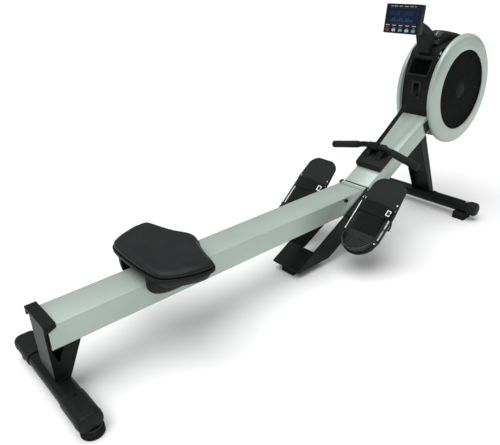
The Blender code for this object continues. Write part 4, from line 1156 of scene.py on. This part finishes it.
def make_pedal(side, sign):
    body = "pedal_" + side
    centre = Vector((PEDAL_X, sign * PEDAL_Y, PEDAL_Z))

    def at(u, v, n):
        return centre + PEDAL_TURN @ Vector((u, v, n))

    def put(points):
        return [at(*p) for p in points]

    dress("footplate_" + side, 0.0016, None, SOFT_PLASTIC)
    top = 0.0450
    # ribs across the heel half
    for i in range(9):
        u = -0.128 + i * 0.0085
        half = 0.060 * min(1.0, 0.55 + 0.45 * math.sqrt(max(0.0, 1 - ((u + 0.064) / 0.092) ** 2)))
        outline = rounded(0.0036, 2 * half, 0.0015, 3)
        name = "heel_rib_%s_%d" % (side, i + 1)
        rib = slab(name, outline, top - 0.0004, top + 0.0016, at(u, 0, 0), PEDAL_TURN, 0.0006)
        # the ribs take the lighter plastic: a painted highlight on their tops
        adopt(rib, body, RIB_HIGHLIGHT_PLASTIC)
    # moulded heel cup: a wall that thickens into a rounded lip, as pairs of offset and height
    cup_wall = [(-0.0024, 0.0), (0.0024, 0.0), (0.0025, 0.5), (0.0025, 0.80), (0.0032, 0.88)]
    cup_wall += [(0.0030, 0.96), (0.0014, 1.0), (-0.0012, 1.0), (-0.0028, 0.95), (-0.0026, 0.86)]
    cup_wall += [(-0.0020, 0.78), (-0.0022, 0.4)]
    sections = []
    steps = 40
    for i in range(steps + 1):
        t = i / steps
        a = math.radians(262 - 164 * t)
        c = Vector((-0.072 + 0.0735 * math.cos(a), 0.0735 * math.sin(a)))
        out = Vector((math.cos(a), math.sin(a)))
        height = 0.014 + 0.020 * math.sin(math.pi * min(max((t - 0.02) / 0.96, 0), 1)) ** 0.55
        ring = []
        for w, h in cup_wall:
            p = c + out * w
            ring.append(at(p.x, p.y, top + 0.0004 + height * h))
        sections.append(ring)
    cup = loft("heel_cup_wall_" + side, sections, 45.0)
    # the cup wall takes the lighter plastic: a painted highlight on its lip
    adopt(cup, body, RIB_HIGHLIGHT_PLASTIC, ["heel_cup_" + side])
    floor_edge = []
    for i in range(33):
        a = math.radians(262 - 164 * i / 32)
        floor_edge.append((-0.072 + 0.0700 * math.cos(a), 0.0700 * math.sin(a)))
    pad = slab("heel_pad_" + side, floor_edge, top + 0.0002, top + 0.0009, at(0, 0, 0), PEDAL_TURN, 0.0003)
    adopt(pad, body, RUBBER)

    # the strap: a padded boot over the instep between two slots
    edge = 0.0795
    knots = [(-edge, 0.0320), (-edge, 0.0440), (-edge + 0.0016, 0.0492), (-0.068, 0.0552), (-0.050, 0.0612)]
    knots += [(-0.026, 0.0662), (0.0, 0.0676), (0.026, 0.0662), (0.050, 0.0612), (0.068, 0.0552)]
    knots += [(edge - 0.0016, 0.0492), (edge, 0.0440), (edge, 0.0320)]
    line = smooth_path([(0, v, n) for v, n in knots], 72)
    # its section, as shares of half its width and thickness, with a thicker hem on both edges
    hemmed = [(-1, -1), (-0.5, -1), (0.5, -1), (1, -1), (1.015, 0), (1, 1), (0.90, 1.3)]
    hemmed += [(0.5, 1.0), (0.0, 0.9), (-0.5, 1.0), (-0.90, 1.3), (-1, 1), (-1.015, 0)]
    sections = []
    for i, p in enumerate(line):
        t = i / (len(line) - 1)
        ahead, behind = line[min(i + 1, len(line) - 1)], line[max(i - 1, 0)]
        along = (ahead - behind).normalized()
        out = Vector((0, -along.z, along.y))
        if out.z < -0.2:
            out = -out
        wide = 0.0228 + 0.0065 * math.sin(math.pi * t) ** 2
        thick = 0.0013
        ring = []
        for w, h in hemmed:
            q = p + out * (thick * h)
            ring.append(at(0.058 + w * wide, q.y, q.z))
        sections.append(ring)
    band = loft("instep_band_" + side, sections, 50.0)
    adopt(band, body, WEBBING, ["foot_strap_" + side])
    for w in (-0.86, 0.86):
        stitches = []
        for i in range(10, len(line) - 10):
            p = line[i]
            t = i / (len(line) - 1)
            wide = 0.0228 + 0.0065 * math.sin(math.pi * t) ** 2
            stitches.append(at(0.058 + w * wide, p.y, p.z + 0.0020))
        name = "band_seam_%s_%s" % (side, "low" if w < 0 else "high")
        seam = sweep(name, circle(0.0006, 6), stitches, PEDAL_TURN @ Vector((1, 0, 0)), 60.0)
        adopt(seam, body, BEZEL)

    # a padded tongue runs from under the strap down to the heel
    sections = []
    for i in range(21):
        t = i / 20
        u = 0.082 - 0.136 * t
        fall = math.pi / 2 * min(1.0, max(0.0, t * 1.25 - 0.25))
        lift = 0.0185 * math.cos(fall) ** 0.8 + 0.0016
        lift *= min(1.0, 0.75 + 4 * t)
        arc = [(-0.0655 + 0.131 * k / 16, lift * (1 - (2 * k / 16 - 1) ** 4) ** 0.6) for k in range(17)]
        under = [at(u, 0.0655, top + 0.0001), at(u, -0.0655, top + 0.0001)]
        sections.append([at(u, v, top + 0.0006 + n) for v, n in arc] + under)
    tongue = loft("strap_tongue_" + side, sections, 50.0)
    adopt(tongue, body, WEBBING)
    # a bright bar along the other slot, where the strap's end is looped
    bar_path = [at(0.076 - 0.014 * k, 0.0835, top + 0.0050) for k in range(11)]
    bar = sweep("strap_bar_" + side, circle(0.0026, 12), bar_path, PEDAL_TURN @ Vector((0, 1, 0)), 60.0)
    adopt(bar, body, BRIGHT)
    knob = [
        (0.0, 0.0046), (0.0030, 0.0040), (0.0046, 0.0020), (0.0046, -0.0020), (0.0030, -0.0044),
        (0.0, -0.0050),
    ]
    stud = lathe("strap_bar_end_" + side, knob, bar_path[-1], PEDAL_TURN @ Vector((0, 0, 1)), 32)
    adopt(stud, body, BRIGHT)

    # cam buckle on the machine's right-hand side, with the strap's loose end
    slope = math.atan2(0.0600 - 0.0495, 0.0795 - 0.056)
    spot = at(0.058, -(0.0795 + 0.056) / 2, (0.0600 + 0.0495) / 2)
    buckle_turn = PEDAL_TURN @ Matrix.Rotation(slope, 3, "X")
    outer, inner = rounded(0.0260, 0.0180, 0.0030), rounded(0.0185, 0.0095, 0.0015)
    name = "buckle_frame_" + side
    base = frame_loop(name, outer, inner, 0.0005, 0.0042, spot, buckle_turn, 0.0005)
    adopt(base, body, STEEL, ["buckle_" + side])
    cam_at = spot + buckle_turn @ Vector((0, -0.0010, 0))
    cam_turn = buckle_turn @ Matrix.Rotation(math.radians(-8), 3, "X")
    outline = rounded(0.0180, 0.0080, 0.0010)
    cam = slab("buckle_cam_" + side, outline, 0.0012, 0.0050, cam_at, cam_turn, 0.0008)
    adopt(cam, body, PLASTIC)
    tail = [(0.058, -0.0705, 0.0580), (0.055, -0.0800, 0.0590), (0.046, -0.0905, 0.0540)]
    tail += [(0.030, -0.0975, 0.0470), (0.012, -0.1010, 0.0420), (-0.008, -0.0985, 0.0370)]
    tab = sweep(
        "strap_tail_" + side, rounded(0.0120, 0.0011, 0.0004, 2), smooth_path(put(tail), 30),
        PEDAL_TURN @ Vector((0.35, 0.0, 1.0)), 40.0,
    )
    adopt(tab, body, WEBBING)
    # a wire keeper at the upper end of the other slot, and rivets
    loop = [(0.088, 0.0850, top + 0.0005), (0.088, 0.0850, top + 0.0060), (0.0985, 0.0850, top + 0.0068)]
    loop += [(0.0985, 0.0730, top + 0.0068), (0.088, 0.0730, top + 0.0060), (0.088, 0.0730, top + 0.0005)]
    keeper = sweep(
        "strap_keeper_" + side, circle(0.0013, 8), smooth_path(put(loop), 40),
        PEDAL_TURN @ Vector((0.3, 0.2, 1)), 60.0,
    )
    adopt(keeper, body, BRIGHT)
    for i, (u, v) in enumerate(((0.106, -0.080), (-0.083, -0.078), (-0.083, 0.078))):
        bolt(
            "rivet_%s_%d" % (side, i + 1), at(u, v, top - 0.0002), PEDAL_TURN @ Vector((0, 0, 1)),
            0.0042, 0.0024, body, BRIGHT, False,
        )
    # a raised border round the toe
    rim = []
    for i in range(33):
        a = math.radians(-72 + 144 * i / 32)
        flat = 0.028 * math.copysign(1, math.sin(a)) * min(1, abs(math.sin(a)) * 4)
        rim.append(at(0.155 + 0.050 * math.cos(a), flat + 0.050 * math.sin(a), top + 0.0002))
    border = sweep(
        "toe_border_" + side, rounded(0.0016, 0.0016, 0.0006, 3), rim, PEDAL_TURN @ Vector((0, 0, 1)),
        60.0,
    )
    adopt(border, body, SOFT_PLASTIC)
    collar_x = [
        (0.0068, -0.003), (0.0120, -0.003), (0.0128, -0.002), (0.0128, 0.002), (0.0120, 0.003),
        (0.0068, 0.003),
    ]
    washer = lathe(
        "pedal_washer_" + side, collar_x, (PEDAL_X, sign * (PEDAL_Y - 0.0515), PEDAL_Z), (0, 1, 0), 40,
    )
    adopt(washer, body, STEEL)


for side, sign in SIDES:
    make_pedal(side, sign)
    end = Vector((PEDAL_X, sign * 0.2462, PEDAL_Z))
    bolt("axle_nut_" + side, end, (0, sign, 0), 0.0082, 0.0060, "frame", STEEL, True)


# ---------------------------------------------------------------- stands, hinge and rail details
def make_level_foot(side, sign):
    low, high, mid = vec_box("leveller_" + side)
    r = (high.x - low.x) / 2
    rows = [(0.0, high.z - 0.0002), (r - 0.0070, high.z - 0.0002), (r - 0.0050, high.z - 0.0014)]
    rows += [(r - 0.0042, 0.0218), (r - 0.0042, 0.0206), (r - 0.0012, 0.0200), (r, 0.0188), (r, 0.0130)]
    rows += [(r - 0.0008, 0.0122), (r - 0.0032, 0.0118), (r - 0.0032, 0.0104), (r - 0.0008, 0.0098)]
    rows += [(r, 0.0088), (r, 0.0014), (r - 0.0012, 0.0002), (r - 0.004, 0.0), (0.0, 0.0)]
    foot = lathe("level_disc_" + side, rows, (mid.x, mid.y, 0), (0, 0, 1), 96, 35.0)
    adopt(foot, "foot_" + side, RUBBER, ["leveller_" + side])
    ring = [
        (r - 0.0068, high.z - 0.0001), (r - 0.0052, high.z + 0.0001), (r - 0.0046, high.z - 0.0008),
        (r - 0.0066, high.z - 0.0012),
    ]
    trim = lathe("level_trim_" + side, ring, (mid.x, mid.y, 0), (0, 0, 1), 96, 35.0)
    adopt(trim, "foot_" + side, GREY_PLASTIC)


def make_rear_cap(side, sign):
    """The sleeve that closes the rear bar: a soft-edged box with a rounded outer end and a lip."""
    low, high, mid = vec_box("rear_cap_" + side)
    w, h = high.x - low.x, high.z - low.z
    outer, inner = (high.y, low.y) if sign > 0 else (low.y, high.y)
    length = abs(outer - inner)
    rows = [(0.0, 0.9300), (0.0002, 0.985), (0.004, 1.0), (length - 0.016, 1.0), (length - 0.008, 0.992)]
    rows += [(length - 0.0032, 0.965), (length - 0.0010, 0.915), (length, 0.830)]
    sections = []
    for along, k in rows:
        outline = rounded(w * k, h * k, h * k / 2 - 0.003, 8)
        sections.append([Vector((mid.x + u, inner + sign * along, mid.z + v)) for u, v in outline])
    cap = loft("rear_sleeve_" + side, sections, 40.0)
    adopt(cap, "rail_assembly", PLASTIC, ["rear_cap_" + side])
    lip_y = inner + sign * (length - 0.020)
    lip_outline = rounded(w + 0.0006, h + 0.0006, h / 2 - 0.003, 8)
    lip = [Vector((mid.x + u, lip_y, mid.z + v)) for u, v in lip_outline]
    band = sweep("sleeve_line_" + side, circle(0.0008, 6), lip, (0, 1, 0), 60.0, closed=True)
    adopt(band, "rail_assembly", BEZEL)
    bolt(
        "sleeve_bolt_" + side, (mid.x + 0.004, sign * 0.150, high.z - 0.0003), (0, 0, 1), 0.0052,
        0.0034, "rail_assembly", PAINT, False,
    )


def make_front_cap(side, sign):
    low, high, mid = vec_box("front_cap_" + side)
    outer, inner = (high.y, low.y) if sign > 0 else (low.y, high.y)
    r = (high.x - low.x) / 2
    length = abs(outer - inner)
    rows = [(0.0, 0.0), (r - 0.0030, 0.0), (r - 0.0008, 0.0008), (r, 0.0030), (r, length - 0.0180)]
    rows += [(r - 0.0010, length - 0.0170), (r - 0.0010, length - 0.0150), (r, length - 0.0140)]
    rows += [(r, length - 0.0110), (r - 0.0012, length - 0.0070), (r - 0.0046, length - 0.0032)]
    rows += [(r - 0.0100, length - 0.0008), (r - 0.0160, length), (0.0, length)]
    cap = lathe("front_plug_" + side, rows, (mid.x, inner, mid.z), (0, sign, 0), 80, 30.0)
    adopt(cap, "frame", PLASTIC, ["front_cap_" + side])


FRONT_BAR_X, FRONT_BAR_TOP = 0.880, 0.0896
RAIL_SIDE_Y, RAIL_TOP_Z = 0.0753, 0.2860

for side, sign in SIDES:
    make_level_foot(side, sign)
    make_rear_cap(side, sign)
    make_front_cap(side, sign)
    for i, x in enumerate((-1.1825, -1.1625)):
        bolt(
            "cap_bolt_%s_%d" % (side, i + 1), (x, sign * RAIL_SIDE_Y, 0.2895), (0, sign, 0), 0.0036, 0.0026,
            "rail_assembly", PAINT, False,
        )
    for label, y, look in (("front_cap_bolt_", 0.250, BRIGHT), ("post_bolt_", 0.0700, PAINT)):
        spot = (FRONT_BAR_X, sign * y, FRONT_BAR_TOP)
        bolt(label + side, spot, (0, 0, 1), 0.0062, 0.0040, "frame", look, True)
    for i, (x, z) in enumerate(((0.318, 0.262), (0.352, 0.266))):
        bolt(
            "plate_bolt_%s_%d" % (side, i + 1), (x, sign * RAIL_SIDE_Y, z), (0, sign, 0), 0.0056, 0.0040,
            "frame", PAINT, True,
        )
    bolt(
        "pin_cap_" + side, (0.281, sign * 0.0833, 0.279), (0, sign, 0), 0.0070, 0.0022, "frame", PAINT,
        False,
    )


def bead(name, start, end, body, radius=0.0028):
    """A weld: overlapping ripples along a joint."""
    start, end = Vector(start), Vector(end)
    count = max(4, int((end - start).length / 0.0030))
    path = [start.lerp(end, i / count) for i in range(count + 1)]
    weld = sweep(name, circle(radius, 8), path, (0.3, 0.9, 0.2), 60.0)
    n = len(path)
    for i in range(n):
        k = 1.0 + (0.16 if i % 2 else -0.10)
        for vertex in weld.data.vertices[i * 8 : (i + 1) * 8]:
            vertex.co = path[i] + (vertex.co - path[i]) * k
    return adopt(weld, body, PAINT)


for side, sign in SIDES:
    bead("weld_post_" + side, (0.862, sign * 0.0552, 0.0862), (0.898, sign * 0.0552, 0.0862), "frame")
    bead(
        "weld_leg_" + side, (-1.1760, sign * 0.0552, 0.0806), (-1.1420, sign * 0.0552, 0.0806),
        "rail_assembly",
    )
    bead(
        "weld_support_" + side, (-0.150, sign * 0.0680, 0.0360), (-0.005, sign * 0.0680, 0.0360),
        "frame", 0.0020,
    )

hinge_line = slab(
    "rail_trim_line", rounded(0.0022, 0.1300, 0.0008), 0.0001, 0.0007, (0.2520, 0, RAIL_TOP_Z),
    Matrix.Identity(3), 0.0002,
)
adopt(hinge_line, "rail_assembly", PAINT)

for where in ("front", "rear"):
    for side, sign in SIDES:
        low, high, mid = vec_box("roller_%s_%s" % (where, side))
        r = (high.x - low.x) / 2
        profile = [(0.0042, -0.0110), (r - 0.0045, -0.0110), (r - 0.0040, -0.0085), (r - 0.0012, -0.0085)]
        profile += [(r, -0.0070), (r, 0.0070), (r - 0.0012, 0.0085), (r - 0.0040, 0.0085)]
        profile += [(r - 0.0045, 0.0110), (0.0042, 0.0110)]
        wheel = lathe("seat_wheel_%s_%s" % (where, side), profile, mid, (0, 1, 0), 64, 30.0)
        adopt(wheel, "wheel_%s_%s" % (where, side), NYLON, ["roller_%s_%s" % (where, side)])
        bolt(
            "seat_bolt_%s_%s" % (where, side), (mid.x, sign * 0.0784, mid.z), (0, sign, 0), 0.0060,
            0.0038, "seat", STEEL, False,
        )


# ---------------------------------------------------------------- floor, light and camera
def area_light(name, place, aim, size, power):
    light = bpy.data.lights.new(name, "AREA")
    light.shape, light.size, light.size_y = "RECTANGLE", size[0], size[1]
    light.energy = power
    obj = bpy.data.objects.new(name, light)
    bpy.context.scene.collection.objects.link(obj)
    obj.location = place
    obj.rotation_euler = (Vector(aim) - Vector(place)).to_track_quat("-Z", "Y").to_euler()
    return obj


floor_mesh = bpy.data.meshes.new("floor")
floor_mesh.from_pydata([(-40, -40, 0), (40, -40, 0), (40, 40, 0), (-40, 40, 0)], [], [(0, 1, 2, 3)])
floor = bpy.data.objects.new("floor", floor_mesh)
bpy.context.scene.collection.objects.link(floor)
floor.location.z = -0.0005
paper = Shader("pale_floor", 0.9)
paper.colour(paper.noise(0.6), (0.3, (0.90, 0.90, 0.90)), (0.8, (0.92, 0.92, 0.92)))
floor_mesh.materials.append(paper.material)
floor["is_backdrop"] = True

world = bpy.data.worlds.new("studio")
bpy.context.scene.world = world
world.use_nodes = True
# a sky that is bright overhead and dim at the horizon, like a studio's soft ceiling
sky_nodes, sky_links = world.node_tree.nodes, world.node_tree.links
sky_place = sky_nodes.new("ShaderNodeTexCoord")
sky_split = sky_nodes.new("ShaderNodeSeparateXYZ")
sky_ramp = sky_nodes.new("ShaderNodeValToRGB")
sky_links.new(sky_place.outputs["Generated"], sky_split.inputs[0])
sky_links.new(sky_split.outputs["Z"], sky_ramp.inputs[0])
sky_links.new(sky_ramp.outputs[0], sky_nodes["Background"].inputs["Color"])
sky_ramp.color_ramp.elements[0].color = (0.22, 0.22, 0.22, 1)
sky_ramp.color_ramp.elements[1].color = (1.0, 1.0, 1.0, 1)
sky_nodes["Background"].inputs["Strength"].default_value = 0.60
# seen directly, the backdrop is as pale as the floor
backdrop = sky_nodes.new("ShaderNodeBackground")
backdrop.inputs["Color"].default_value = (0.98, 0.98, 0.98, 1)
light_path = sky_nodes.new("ShaderNodeLightPath")
sky_mix = sky_nodes.new("ShaderNodeMixShader")
sky_links.new(light_path.outputs["Is Camera Ray"], sky_mix.inputs["Fac"])
sky_links.new(sky_nodes["Background"].outputs[0], sky_mix.inputs[1])
sky_links.new(backdrop.outputs[0], sky_mix.inputs[2])
sky_links.new(sky_mix.outputs[0], sky_nodes["World Output"].inputs["Surface"])

sun_data = bpy.data.lights.new("overhead", "SUN")
sun_data.energy, sun_data.angle = 2.4, math.radians(60)
sun = bpy.data.objects.new("overhead", sun_data)
bpy.context.scene.collection.objects.link(sun)
sun.rotation_euler = Vector((0.30, -0.04, -1)).to_track_quat("-Z", "Y").to_euler()
area_light("key", (-2.6, -1.2, 2.6), (-0.4, 0, 0.3), (2.2, 2.2), 16.0)
area_light("rim", (2.9, -1.2, 2.0), (0.8, 0, 0.6), (1.6, 1.6), 5.0)

camera_data = bpy.data.cameras.new("camera")
camera = bpy.data.objects.new("camera", camera_data)
bpy.context.scene.collection.objects.link(camera)
camera_data.sensor_width = 36.0
camera_data.lens = 38.168
camera_data.shift_x, camera_data.shift_y = -0.0148, -0.0075
camera_data.clip_end = 100.0
right = Vector((0.74933665, -0.66157732, -0.02846122))
upward = Vector((0.30804425, 0.3102155, 0.89937483))
back = right.cross(upward)
turn = Matrix((right, upward, back)).transposed().to_4x4()
turn.translation = Vector((-1.519171, -1.408239, 1.214862))
camera.matrix_world = turn
bpy.context.scene.camera = camera
bpy.context.scene.view_settings.view_transform = "Standard"

low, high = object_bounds()
